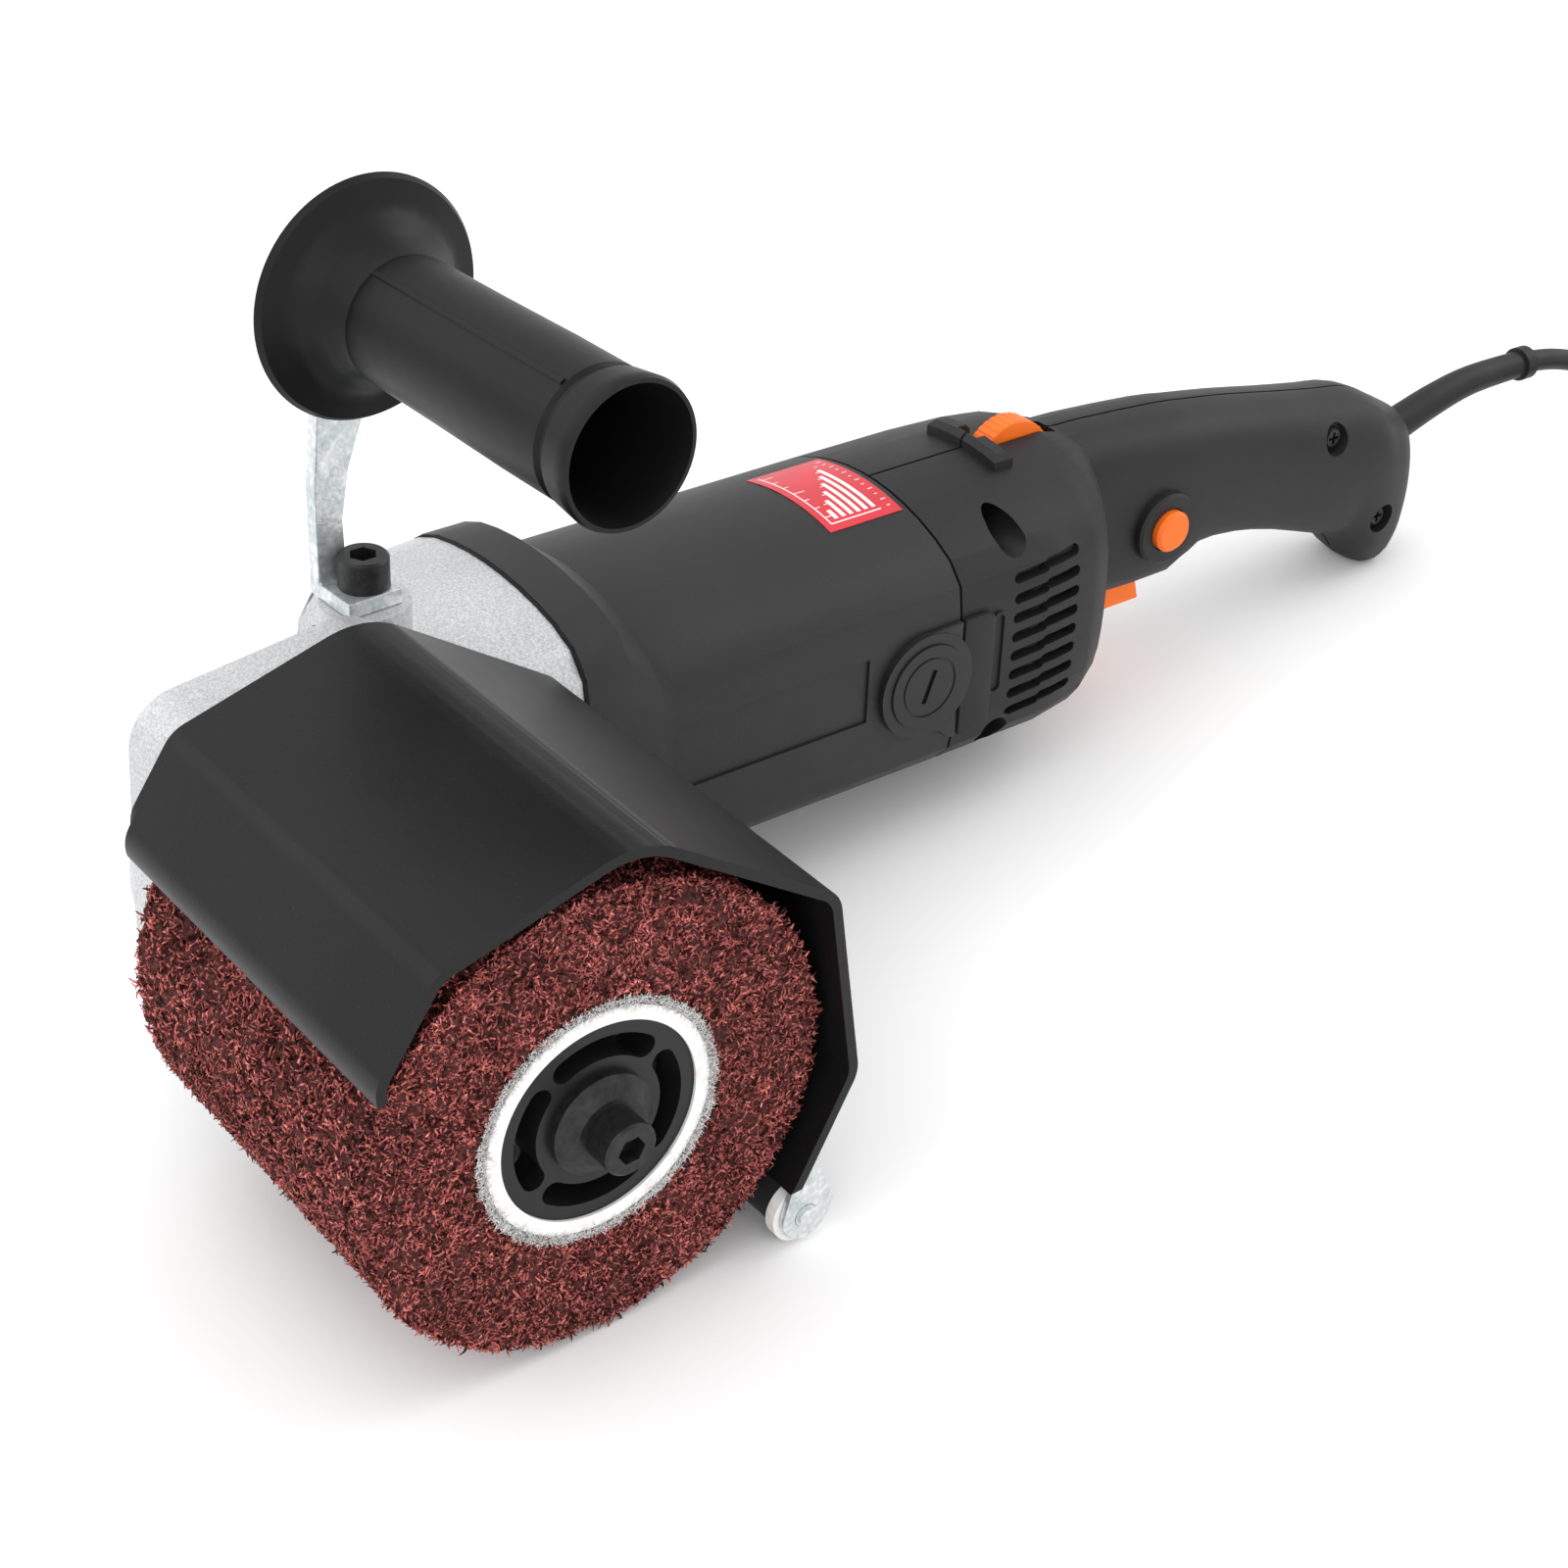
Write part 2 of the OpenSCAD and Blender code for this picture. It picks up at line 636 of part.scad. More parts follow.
// Stations from the seam through the bell to the tail
bell_stations = [[seam_x, motor_y, 0, housing_w, housing_h, dome_r, 18],
    [222, motor_y, 0, housing_w, housing_h, dome_r, 14], [236, motor_y, 0.5, 41, 40, 66, 10],
    [244, motor_y, 2, 37.5, 38.5, 60, 8], [250, motor_y, 5, 30, 34, 50, 6], [254, motor_y, 8, 22, 30, 40, 5]];
grip_stations = [[240, motor_y, 11, grip_w, 27.5, 34, 5], [262, motor_y, 10.5, grip_w, 27.5, 34, 5],
    [292, motor_y, 9, grip_w, 26.5, 32, 5], [304, motor_y, 11, grip_w, 22.8, 28, 5],
    [322, motor_y, 9, grip_w, 21.8, 27, 5], [342, motor_y, 4.5, grip_w, 22.2, 27, 5],
    [362, motor_y, -1, grip_w, 23.8, 28, 5], [372, motor_y, -3, grip_w, 24.2, 30, 4.5],
    [380, motor_y, -9.4, 18.5, 27.6, 38, 4], [387, motor_y, -14, 17.5, 28.4, 50, 2.8],
    [393, motor_y, -16, 15.5, 27, 50, 2.8], [398.5, motor_y, -15.5, 12, 22.5, 40, 2.8],
    [402, motor_y, -15, 8, 16, 30, 2.8]];

shell_screw_spots = [[208, 31.5], [203, -26], [356, 13.5], [382, -20]];
module handle_solid() {
    union() {
        loft(bell_stations);
        loft(smooth(grip_stations, 2));
    }
}
module handle_hollow() {
    union() {
        loft(inset(concat([body_at(seam_x - 1)], [for (i = [1:4]) bell_stations[i]]), wall));
        loft(inset([for (i = [0:9]) grip_stations[i]], wall), 32);
    }
}

// Open joint line between the shells, and between shells and motor housing
part_line = 0.8;

// Two staggered columns of cooling slots in each side of the bell
vent_rows = 8;
vent_pitch = 5.9;
module vents() {
    for (c = [0, 1]) for (i = [0:vent_rows - 1])
        translate([211.8 + 11.4 * c, motor_y - 60, 21.9 - i * vent_pitch + 1.4 * c]) rotate([0, -3, 0]) {
            translate([-4.8, 0, -1.6]) cube([9.6, 120, 3.2]);
            for (s = [-1, 1]) translate([4.8 * s, 0, 0]) rotate([-90, 0, 0])
                cylinder(r = 1.6, h = 120, $fn = 16);
        }
}

// One half of the bell and handle: s = -1 is the left shell, s = 1 the right one
module handle_shell(s) {
    at_tool() difference() {
        union() {
            difference() {
                intersection() {
                    handle_solid();
                    translate([seam_x + part_line, motor_y - 50 + s * (50 + part_line / 2), -100])
                        cube([300, 100, 200]);
                }
                handle_hollow();
                vents();
                rotate([0, -tool_tilt, 0]) translate([350, motor_y - 50, -drum_d / 2 - 20])
                    cube([60, 100, 20]);
            }
            intersection() {
                for (p = shell_screw_spots) translate([p[0], motor_y, p[1]]) rotate([-90 * s, 0, 0])
                    cylinder(r = 6.4, h = 50);
                handle_solid();
            }
            if (s < 0) translate([lock_x, motor_y - grip_w - 2.5, lock_z]) rotate([-90, 0, 0]) {
                cylinder(r1 = 10.2, r2 = 11, h = 0.8);
                translate([0, 0, 0.8 - e]) cylinder(r = 11, h = 4.7);
            }
            dial_rib(s);
        }
        for (p = shell_screw_spots) translate([p[0], motor_y, p[1]]) rotate([90, 0, 0]) {
            translate([0, 0, -14]) cylinder(r = s < 0 ? 1.7 : 1.4, h = 40);
            translate([0, 0, 13]) cylinder(r = 4.9, h = 40);
        }
        brush_axis(s) translate([0, 0, 30]) cylinder(r = brush_boss_r + 0.05, h = 20);
        translate([lock_x, motor_y - 40, lock_z]) rotate([-90, 0, 0]) cylinder(r = lock_d / 2 + 0.4, h = 38);
        translate([trigger_pin_x - 5, motor_y - 7.6, -40]) cube([38, 15.2, 40]);
        at_trigger_pin(14) cylinder(r = 1.5, h = 28);
        translate([dial_x - 15, motor_y - 4, dial_z - 15]) cube([30, 8, 30]);
        translate([dial_x, motor_y - 9, dial_z]) rotate([-90, 0, 0]) cylinder(r = 1.5, h = 18);
        translate([380, motor_y, 0.5]) rotate([0, 90, 0]) cylinder(r = 5.2, h = 40);
    }
}

// Raised rib across the bell that shields the dial, with a low wall along the dial's far side
rib_h = 4;
module dial_rib(s) {
    intersection() {
        loft([for (q = [[0, 2.4], [1.6, rib_h], [5, rib_h], [6.6, 2.4]])
            [rib_x + q[0], motor_y, 0, housing_w, housing_h + q[1], dome_r + q[1], 18]]);
        translate([rib_x - 1, motor_y, 0]) mirror([0, s < 0 ? 1 : 0, 0]) rotate([90, 0, 90])
            linear_extrude(9) polygon([[part_line / 2, 20], [part_line / 2, 50], [9, 50], [12, 44.6],
                [14.5, 41.5], [14.5, 20]]);
    }
    if (s > 0) translate([rib_x + 4, motor_y + 11, 30]) rotate([0, 12, 0]) cube([22, 4, 10.5]);
}

module handle_shell_left() { color(black_plastic) handle_shell(-1); }
module handle_shell_right() { color("#343434") handle_shell(1); }

module handle_screws() {
    color(black_steel) at_tool() for (p = shell_screw_spots)
        translate([p[0], motor_y - 13, p[1]]) rotate([90, 0, 0]) pan_screw(3.4, 2.2, 1.4, 24);
}

// Along the trigger's pin, from a point y_off to the left of the middle plane
module at_trigger_pin(y_off) {
    translate([trigger_pin_x, motor_y - y_off, trigger_pin_z]) rotate([-90, 0, 0]) children();
}
module trigger() {
    color(orange) at_tool() difference() {
        union() {
            translate([trigger_pin_x + 2, motor_y - 7, -24.5]) cube([30, 14, 14.5]);
            at_trigger_pin(7) cylinder(r = 4, h = 14);
            translate([trigger_pin_x, motor_y - 7, -13]) cube([6, 14, 7]);
        }
        at_trigger_pin(20) cylinder(r = 1.55, h = 40);
        translate([trigger_pin_x + 34, motor_y - 20, -27]) rotate([0, -15, 0]) translate([-4, 0, 0])
            cube([20, 40, 30]);
    }
}
module trigger_pin() {
    color(zinc) at_tool() at_trigger_pin(13.9) cylinder(r = 1.5, h = 27.8);
}

module lock_button() {
    color(orange) at_tool() translate([lock_x, motor_y - grip_w - 5, lock_z]) rotate([-90, 0, 0]) {
        cylinder(r1 = lock_d / 2 - 1, r2 = lock_d / 2, h = 1);
        translate([0, 0, 1 - e]) cylinder(r = lock_d / 2, h = 8);
        translate([0, 0, 8]) cylinder(r = 3, h = 3);
    }
}

module switch_body() {
    color("#46484c") at_tool() translate([266, motor_y - 9.5, 0]) cube([34, 19, 20]);
}

module speed_dial() {
    color(orange) at_tool() translate([dial_x, motor_y - 3.5, dial_z]) rotate([-90, 0, 0]) difference() {
        cylinder(r = dial_r, h = 7);
        translate([0, 0, -1]) cylinder(r = 1.55, h = 10);
        for (i = [0:35]) rotate(10 * i) translate([dial_r + 0.2, 0, -1]) cylinder(r = 0.5, h = 10, $fn = 8);
    }
}
module dial_axle() {
    color(zinc) at_tool() translate([dial_x, motor_y - 8.9, dial_z]) rotate([-90, 0, 0])
        cylinder(r = 1.5, h = 17.8);
}
module speed_board() {
    color("#2f6b3a") at_tool() {
        translate([218, motor_y - 14, 14]) cube([34, 28, 1.6]);
        translate([222, motor_y - 12, 7]) cube([12, 8, 7]);
        translate([238, motor_y - 2, 6]) cube([9, 12, 8]);
    }
}
module cord_clamp() {
    color(black_plastic) at_tool() difference() {
        translate([368, motor_y - 13, 2.6]) cube([9, 26, 5]);
        translate([360, motor_y, 0.5]) rotate([0, 90, 0]) cylinder(r = 3.6, h = 30);
    }
}

// ---------------------------------------------------------------- guard

module guard_profile(points) {
    offset(r = guard_bend_r, $fn = 64) offset(delta = -guard_bend_r) polygon(points);
}
module guard() {
    color(black_steel) at_drum() {
        side_extrude(guard_y0, guard_y1) difference() {
            guard_profile(guard_loop);
            offset(delta = -guard_t) guard_profile(guard_loop);
            polygon(guard_mouth);
        }
        difference() {
            side_extrude(guard_y1 - e, plate_y) difference() {
                union() {
                    guard_profile(guard_outline);
                    circle(r = 52);
                }
                circle(r = 22);
            }
            rotate([0, tool_tilt, 0]) at_cover_screws() ycyl(2.6, 90, 120);
        }
    }
}

// ---------------------------------------------------------------- side handle and bracket

module at_bracket() {
    at_tool() translate([boss_x, boss_y, 0]) rotate(bracket_turn) translate([-boss_x, -boss_y, 0]) children();
}
module handle_bracket() {
    color(zinc) at_bracket() difference() {
        union() {
            translate([13.5, foot_y0, boss_z + 0.05]) cube([15, strap_y0 + strap_t - foot_y0, strap_t]);
            side_extrude(strap_y0, strap_y0 + strap_t) polygon([[13.5, boss_z + 0.05], [21.5, boss_z + 0.05],
                [21, 78], [23, 90], [28, 104], [36, 124], [20, 124], [15, 104], [13.5, 88]]);
            translate([eye_x, strap_y0, eye_z]) rotate([-90, 0, 0]) cylinder(r = 13, h = strap_t);
        }
        translate([boss_x, boss_y, boss_z - 1]) cylinder(r = thread_r + 0.3, h = 10);
        translate([eye_x, strap_y0 - 1, eye_z]) rotate([-90, 0, 0]) cylinder(r = thread_r + 0.1, h = 10);
    }
}
module bracket_screw() {
    color(black_steel) at_tool() translate([boss_x, boss_y, boss_z + strap_t + 0.1])
        socket_screw(6.2, 8, thread_r, 20, 6);
}

// The side handle is turned about its own axis; u runs from the bracket towards the free end
side_profile = [[0, 0], [12, 0], [16, 0.6], [side_flange_r - 1.5, 1.8], [side_flange_r, 3],
    [side_flange_r - 1, 4.6], [22, 6.8], [17.6, 11], [15.2, 15], [14.5, 17.2], [15.1, 17.9], [15.4, 20],
    [15.6, 45], [16, 70],
    [16, side_l - 12], [15.2, side_l - 11], [15.2, side_l - 9.6], [16.4, side_l - 8.5], [17.3, side_l - 1.5],
    [16.8, side_l], [15.8, side_l], [15, side_l - 3], [13.2, side_l - 16], [12, 30], [10, 27], [0, 26]];
module at_side_handle() { at_bracket() translate([eye_x, strap_y0, eye_z]) rotate([90, 0, 0]) children(); }
module side_handle() {
    color(black_plastic) at_side_handle() difference() {
        rotate_extrude($fn = 64) polygon(side_profile);
        translate([0, 0, -1]) cylinder(r = thread_r, h = 21);
    }
}
module handle_stud() {
    color(zinc) at_side_handle() translate([0, 0, -strap_t - 8]) cylinder(r = thread_r, h = strap_t + 28);
}
module handle_nut() {
    color(zinc) at_side_handle() translate([0, 0, -strap_t - 6.5]) difference() {
        cylinder(r = 7.5, h = 6.5, $fn = 6);
        translate([0, 0, -1]) cylinder(r = thread_r, h = 10, $fn = 48);
    }
}

// ---------------------------------------------------------------- guide roller

module at_roller() { at_drum() translate([roller_x, 0, roller_z]) children(); }
module guide_roller() {
    color("#2a2a2b") at_roller() difference() {
        ycyl(6.6, roller_y0 + 3, 96.8);
        ycyl(3.05, roller_y0, 100);
    }
}
module roller_discs() {
    color("#e8ebea") at_roller() for (y = [roller_y0, 96.8]) difference() {
        ycyl(roller_r, y, y + 3);
        ycyl(3.05, y - 1, y + 4);
    }
}
module roller_axle() {
    color(zinc) at_roller() {
        ycyl(3, roller_y0 - ear_t - 0.3, 101.9);
        ycyl(2.2, roller_y0 - ear_t - 1, roller_y0 - ear_t - 0.2);
        ycyl(4.2, 101.9 - e, 102.7);
    }
}

// Ears that carry the roller's axle, welded to the end and the outside of the guard's lower wall
module roller_plates() {
    outline = concat([for (a = [170:20:330]) [roller_x, roller_z] + 6.6 * [cos(a), sin(a)]],
        [[59.7, -50.7], [54.8, -35.8], guard_corners[5], guard_corners[5] + [-2.2, 1.3]]);
    color(zinc) for (y = [roller_y0 - ear_t - 0.2, 100.2]) difference() {
        at_drum() side_extrude(y, y + ear_t) polygon(outline);
        at_roller() ycyl(3, y - 1, y + 3);
    }
}

// ---------------------------------------------------------------- cord, in the part's frame

// Centre line of the strain relief and of the lead, from the tail to the coil
relief_route = [[229, 56.7, 40], [247, 56.7, 44], [265, 56.7, 46], [291, 56.7, 44.5]];
relief_r0 = 5.6;
relief_r1 = 4.2;
coil_x = 372;
coil_y = -16;
coil_r = 38.5;
turn_gap = cord_d;
run_route = [[291, 56.7, 44.5], [305, 56.6, 41.5], [321, 56, 35.5], [338, 54, 25.5], [355, 51, 15.5],
    [372, 47, 8.5], [388, 42, 5], [402, 34, 4], [412, 23, 3.7], [418, 10, 3.6], [421, -3, 3.6],
    [422, -16, 3.6]];
lead_route = [[422, -16, 10.5], [421.5, -32, 10], [418, -50, 7.6], [410, -67, 5.4], [398, -82, 4.4],
    [382, -94, 4.4], [363, -102, 5.6], [346, -105, 8.5], [328, -105, 12.5]];

module strain_relief() {
    path = smooth(relief_route, 4);
    radii = [for (i = [0:len(path) - 1]) relief_r0 + (relief_r1 - relief_r0) * i / (len(path) - 1)];
    color("#1f1f20") {
        skin(tube_rings(path, radii, 20), 20);
        translate([287, 56.7, 44.8]) rotate([0, 94, 0]) cylinder(r = 5.4, h = 4.2);
    }
}
module cord_run() {
    path = smooth(run_route, 2);
    color("#1f1f20") skin(tube_rings(path, [for (p = path) cord_d / 2], 10), 10);
}
module cord_lead() {
    path = smooth(lead_route, 2);
    color("#1f1f20") skin(tube_rings(path, [for (p = path) cord_d / 2], 10), 10);
}
module cord_coil() {
    color("#1f1f20") translate([coil_x, coil_y, 0]) rotate_extrude()
        translate([coil_r - 1.5 * turn_gap, 0]) square([3 * turn_gap, 2 * turn_gap]);
}
module coil_tie() {
    color("#e8e8e8") translate([coil_x, coil_y + coil_r, 0]) difference() {
        translate([-2.5, -1.5 * turn_gap - 1.2, 0]) cube([5, 3 * turn_gap + 2.4, 2 * turn_gap + 0.6]);
        translate([-4, -1.5 * turn_gap, -1]) cube([8, 3 * turn_gap, 2 * turn_gap + 1]);
    }
}

// Two-pin contour plug lying on its flat side, pins towards -X
plug_x = 328;
plug_y = -105;
plug_z = 12.5;
pin_gap = 19;
pin_r = 2.4;
// A flat oval section along X: two round sides, each half_gap from the middle
module flat_oval(half_gap, r, length) {
    for (s = [-1, 1]) translate([0, s * half_gap, 0]) rotate([0, 90, 0]) cylinder(r = r, h = length);
    translate([0, -half_gap, -r]) cube([length, 2 * half_gap, 2 * r]);
}
module plug() {
    color("#1f1f20") translate([plug_x, plug_y, plug_z]) {
        rotate([0, -90, 0]) cylinder(r1 = 4.6, r2 = 6.5, h = 20);
        translate([-44, 0, 0]) flat_oval(10, 8.5, 26);
        translate([-48, 0, 0]) flat_oval(11, 7.5, 5);
    }
    color("#d8c27a") for (s = [-1, 1]) translate([plug_x - 67, plug_y + s * pin_gap / 2, plug_z])
        rotate([0, 90, 0]) cylinder(r = pin_r, h = 20);
}

abrasive_drum();
core_tube();
hub_near();
hub_far();
drum_keys();
drum_bolt();
drum_washer();
spindle();
crown_wheel();
spindle_bearing_outer();
spindle_bearing_inner();
spindle_rear_bush();
motor_shaft();
pinion();
front_bearing_outer();
front_bearing_inner();
rotor_core();
rotor_windings();
commutator();
cooling_fan();
rear_bearing_outer();
rear_bearing_inner();
stator_core();
stator_windings();
air_baffle();
carbon_brushes();
brush_holders();
brush_caps();
gear_case();
gear_case_cover();
cover_screws();
motor_housing();
housing_screws();
handle_shell_left();
handle_shell_right();
handle_screws();
trigger();
trigger_pin();
lock_button();
switch_body();
speed_dial();
dial_axle();
speed_board();
cord_clamp();
guard();
handle_bracket();
bracket_screw();
side_handle();
handle_stud();
handle_nut();
guide_roller();
roller_discs();
roller_axle();
roller_plates();
strain_relief();
cord_run();
cord_coil();
cord_lead();
coil_tie();
plug();
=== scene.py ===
import math
import random

import bmesh
import bpy
from mathutils import Matrix, Vector, noise


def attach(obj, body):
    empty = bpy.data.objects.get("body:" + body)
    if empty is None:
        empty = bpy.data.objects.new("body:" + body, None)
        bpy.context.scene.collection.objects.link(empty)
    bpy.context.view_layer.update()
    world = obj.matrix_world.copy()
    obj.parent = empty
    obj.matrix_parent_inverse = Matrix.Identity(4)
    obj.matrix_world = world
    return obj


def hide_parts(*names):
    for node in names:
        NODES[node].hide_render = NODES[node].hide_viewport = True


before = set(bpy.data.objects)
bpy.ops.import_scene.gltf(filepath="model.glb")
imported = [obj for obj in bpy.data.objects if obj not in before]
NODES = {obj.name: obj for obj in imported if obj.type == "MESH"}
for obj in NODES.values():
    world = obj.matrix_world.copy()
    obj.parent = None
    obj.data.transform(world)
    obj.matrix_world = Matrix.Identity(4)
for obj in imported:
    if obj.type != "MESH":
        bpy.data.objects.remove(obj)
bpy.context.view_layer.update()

MM = 0.001

# The drum's axis and the tool's tilt, as in the CAD source (millimetres and degrees)
ORIGIN = Vector((170.7, 89.3, -60.0))
TILT = math.radians(2.8)
MOTOR_Y = 146.0
SIDES = {-1: "left", 1: "right"}


def in_drum(x, y, z):
    """A point of the drum frame, in metres of the part's frame."""
    return (Vector((x, y, z)) - ORIGIN) * MM


def in_tool(x, y, z):
    """A point of the tool frame, in metres of the part's frame."""
    c, s = math.cos(TILT), math.sin(TILT)
    return in_drum(x * c + z * s, y, -x * s + z * c)


# ------------------------------------------------------------------ camera

def make_camera():
    """The photograph's viewpoint."""
    data = bpy.data.cameras.new("camera")
    data.sensor_width = 36
    data.lens = 68.36
    data.clip_start, data.clip_end = 0.01, 50
    cam = bpy.data.objects.new("camera", data)
    cam.location = (-0.4313, -0.4981, 0.4739)
    cam.rotation_euler = (math.radians(55.88), 0, math.radians(-37.14))
    bpy.context.scene.collection.objects.link(cam)
    bpy.context.scene.camera = cam


make_camera()

# ------------------------------------------------------------------ node helpers


class Shader:
    """A Principled material with short calls for its noise, ramps and bump."""

    def __init__(self, name, color, rough=0.5, metal=0.0, coat=0.0, spec=0.5):
        self.mat = bpy.data.materials.new(name)
        self.mat.use_nodes = True
        self.tree = self.mat.node_tree
        self.bsdf = self.tree.nodes["Principled BSDF"]
        self.bsdf.inputs["Base Color"].default_value = (*color, 1)
        self.bsdf.inputs["Roughness"].default_value = rough
        self.bsdf.inputs["Metallic"].default_value = metal
        self.bsdf.inputs["Coat Weight"].default_value = coat
        self.bsdf.inputs["Specular IOR Level"].default_value = spec
        self.coord = self.tree.nodes.new("ShaderNodeTexCoord").outputs["Object"]

    def link(self, a, b):
        self.tree.links.new(a, b)

    def noise(self, scale, detail=3.0, rough=0.55, stretch=None, distortion=0.0):
        n = self.tree.nodes.new("ShaderNodeTexNoise")
        n.inputs["Scale"].default_value = scale
        n.inputs["Detail"].default_value = detail
        n.inputs["Roughness"].default_value = rough
        n.inputs["Distortion"].default_value = distortion
        source = self.coord
        if stretch:
            m = self.tree.nodes.new("ShaderNodeMapping")
            m.inputs["Scale"].default_value = stretch
            self.link(self.coord, m.inputs["Vector"])
            source = m.outputs["Vector"]
        self.link(source, n.inputs["Vector"])
        return n.outputs["Fac"]

    def voronoi(self, scale, feature="F1"):
        n = self.tree.nodes.new("ShaderNodeTexVoronoi")
        n.feature = feature
        n.inputs["Scale"].default_value = scale
        self.link(self.coord, n.inputs["Vector"])
        return n.outputs["Distance"]

    def ramp(self, fac, stops):
        r = self.tree.nodes.new("ShaderNodeValToRGB")
        e = r.color_ramp.elements
        while len(e) < len(stops):
            e.new(0.5)
        for item, (at, c) in zip(e, stops):
            item.position = at
            item.color = (*c, 1) if len(c) == 3 else c
        self.link(fac, r.inputs["Fac"])
        return r.outputs["Color"]

    def mix(self, fac, a, b, mode="MIX"):
        m = self.tree.nodes.new("ShaderNodeMix")
        m.data_type = "RGBA"
        m.blend_type = mode
        for i, v in ((0, fac), (6, a), (7, b)):
            if hasattr(v, "is_linked"):
                self.link(v, m.inputs[i])
            elif i:
                m.inputs[i].default_value = (*v, 1)
            else:
                m.inputs[i].default_value = v
        return m.outputs[2]

    def color(self, socket):
        self.link(socket, self.bsdf.inputs["Base Color"])

    def rough(self, fac, low, high):
        m = self.tree.nodes.new("ShaderNodeMapRange")
        m.inputs["To Min"].default_value = low
        m.inputs["To Max"].default_value = high
        self.link(fac, m.inputs["Value"])
        self.link(m.outputs["Result"], self.bsdf.inputs["Roughness"])

    def bump(self, *layers):
        """Layers of (height socket, strength, distance in metres)."""
        normal = None
        for height, strength, distance in layers:
            b = self.tree.nodes.new("ShaderNodeBump")
            b.inputs["Strength"].default_value = strength
            b.inputs["Distance"].default_value = distance
            self.link(height, b.inputs["Height"])
            if normal:
                self.link(normal, b.inputs["Normal"])
            normal = b.outputs["Normal"]
        self.link(normal, self.bsdf.inputs["Normal"])


def shades(color, *factors):
    """The colour made darker or lighter by each factor."""
    return [tuple(min(1.0, c * f) for c in color) for f in factors]


# ------------------------------------------------------------------ materials

def moulded_plastic(name, color, low, high, grain=0.22, size=2600, spec=0.5):
    """Spark-eroded moulded plastic: fine grain, faint flow shading, roughness that varies at random."""
    s = Shader(name, color, spec=spec)
    dark, light = shades(color, 0.82, 1.22)
    s.color(s.ramp(s.noise(16, 4), [(0.3, dark), (0.7, light)]))
    s.rough(s.noise(26, 5), low, high)
    s.bump((s.noise(size, 2, 0.6), grain, 0.00025), (s.noise(90, 2), 0.05, 0.0006))
    return s.mat


def glossy_plastic(name, color, low, high):
    """Smoother moulded plastic with soft sinks and faint handling marks."""
    s = Shader(name, color, spec=0.2)
    dark, light = shades(color, 0.85, 1.2)
    s.color(s.ramp(s.noise(22, 5), [(0.3, dark), (0.7, light)]))
    scratches = s.noise(420, 6, 0.75, (0.15, 1.0, 1.0), 1.2)
    s.rough(s.mix(0.3, s.noise(9, 3), scratches), low, high)
    s.bump((s.noise(1500, 2), 0.07, 0.0002), (s.noise(60, 2), 0.06, 0.0009))
    return s.mat


def cast_metal(name, color, rough=(0.36, 0.6), grain=0.5):
    """Die-cast aluminium, blasted: bright grain with a few darker pits."""
    s = Shader(name, color, metal=0.55)
    dark, light = shades(color, 0.72, 1.3)
    base = s.ramp(s.noise(1500, 4, 0.7), [(0.35, dark), (0.52, color), (0.72, light)])
    clouds = s.ramp(s.noise(18, 5), [(0.35, (0.86, 0.86, 0.87)), (0.65, (1, 1, 1))])
    s.color(s.mix(1.0, base, clouds, "MULTIPLY"))
    s.rough(s.noise(900, 3), *rough)
    s.bump((s.noise(1300, 3, 0.65), grain, 0.0003), (s.noise(200, 3), 0.1, 0.0004))
    return s.mat


def zinc_plating(name="zinc_plating"):
    """Bright blue-passivated zinc on rolled steel, with a soft spangle."""
    s = Shader(name, (0.74, 0.77, 0.78), metal=0.7)
    tones = [(0.0, (0.84, 0.87, 0.88)), (0.5, (0.62, 0.65, 0.66)), (0.9, (0.86, 0.88, 0.88))]
    spangle = s.ramp(s.voronoi(420), tones)
    tint = s.ramp(s.noise(150, 5, 0.7), [(0.34, (0.72, 0.77, 0.79)), (0.56, (1, 1, 0.99))])
    s.color(s.mix(1.0, spangle, tint, "MULTIPLY"))
    s.rough(s.noise(240, 5), 0.2, 0.48)
    s.bump((s.noise(620, 4, 0.7), 0.42, 0.0004), (s.noise(90, 2), 0.16, 0.0008))
    return s.mat


def steel(name, color=(0.5, 0.51, 0.52), low=0.24, high=0.42, stretch=(0.2, 1, 1)):
    """Ground or turned steel with fine tool marks."""
    s = Shader(name, color, metal=1.0)
    marks = s.noise(1600, 4, 0.7, stretch)
    dark, light = shades(color, 0.78, 1.15)
    s.color(s.ramp(marks, [(0.3, dark), (0.7, light)]))
    s.rough(s.noise(300, 4), low, high)
    s.bump((marks, 0.12, 0.0002))
    return s.mat


def black_oxide(name="black_oxide"):
    """Blackened screw steel with a slight oily sheen."""
    s = Shader(name, (0.018, 0.018, 0.019), metal=0.4, spec=0.4)
    s.color(s.ramp(s.noise(500, 4), [(0.3, (0.01, 0.01, 0.011)), (0.7, (0.028, 0.028, 0.029))]))
    s.rough(s.noise(420, 4), 0.3, 0.5)
    s.bump((s.noise(1400, 3), 0.16, 0.0002))
    return s.mat


def powder_coat(name="guard_coat"):
    """Satin black powder coat on sheet steel: fine orange peel and a little dust."""
    s = Shader(name, (0.009, 0.009, 0.0095), spec=0.2)
    base = s.ramp(s.noise(14, 5), [(0.3, (0.006, 0.006, 0.0065)), (0.7, (0.01, 0.01, 0.0105))])
    dust = s.ramp(s.noise(2400, 1, 0.5), [(0.74, (0, 0, 0)), (0.8, (0.04, 0.04, 0.04))])
    s.color(s.mix(1.0, base, dust, "ADD"))
    s.rough(s.noise(30, 6), 0.28, 0.42)
    s.bump((s.noise(1100, 2), 0.1, 0.00025), (s.noise(240, 2), 0.07, 0.0004))
    return s.mat


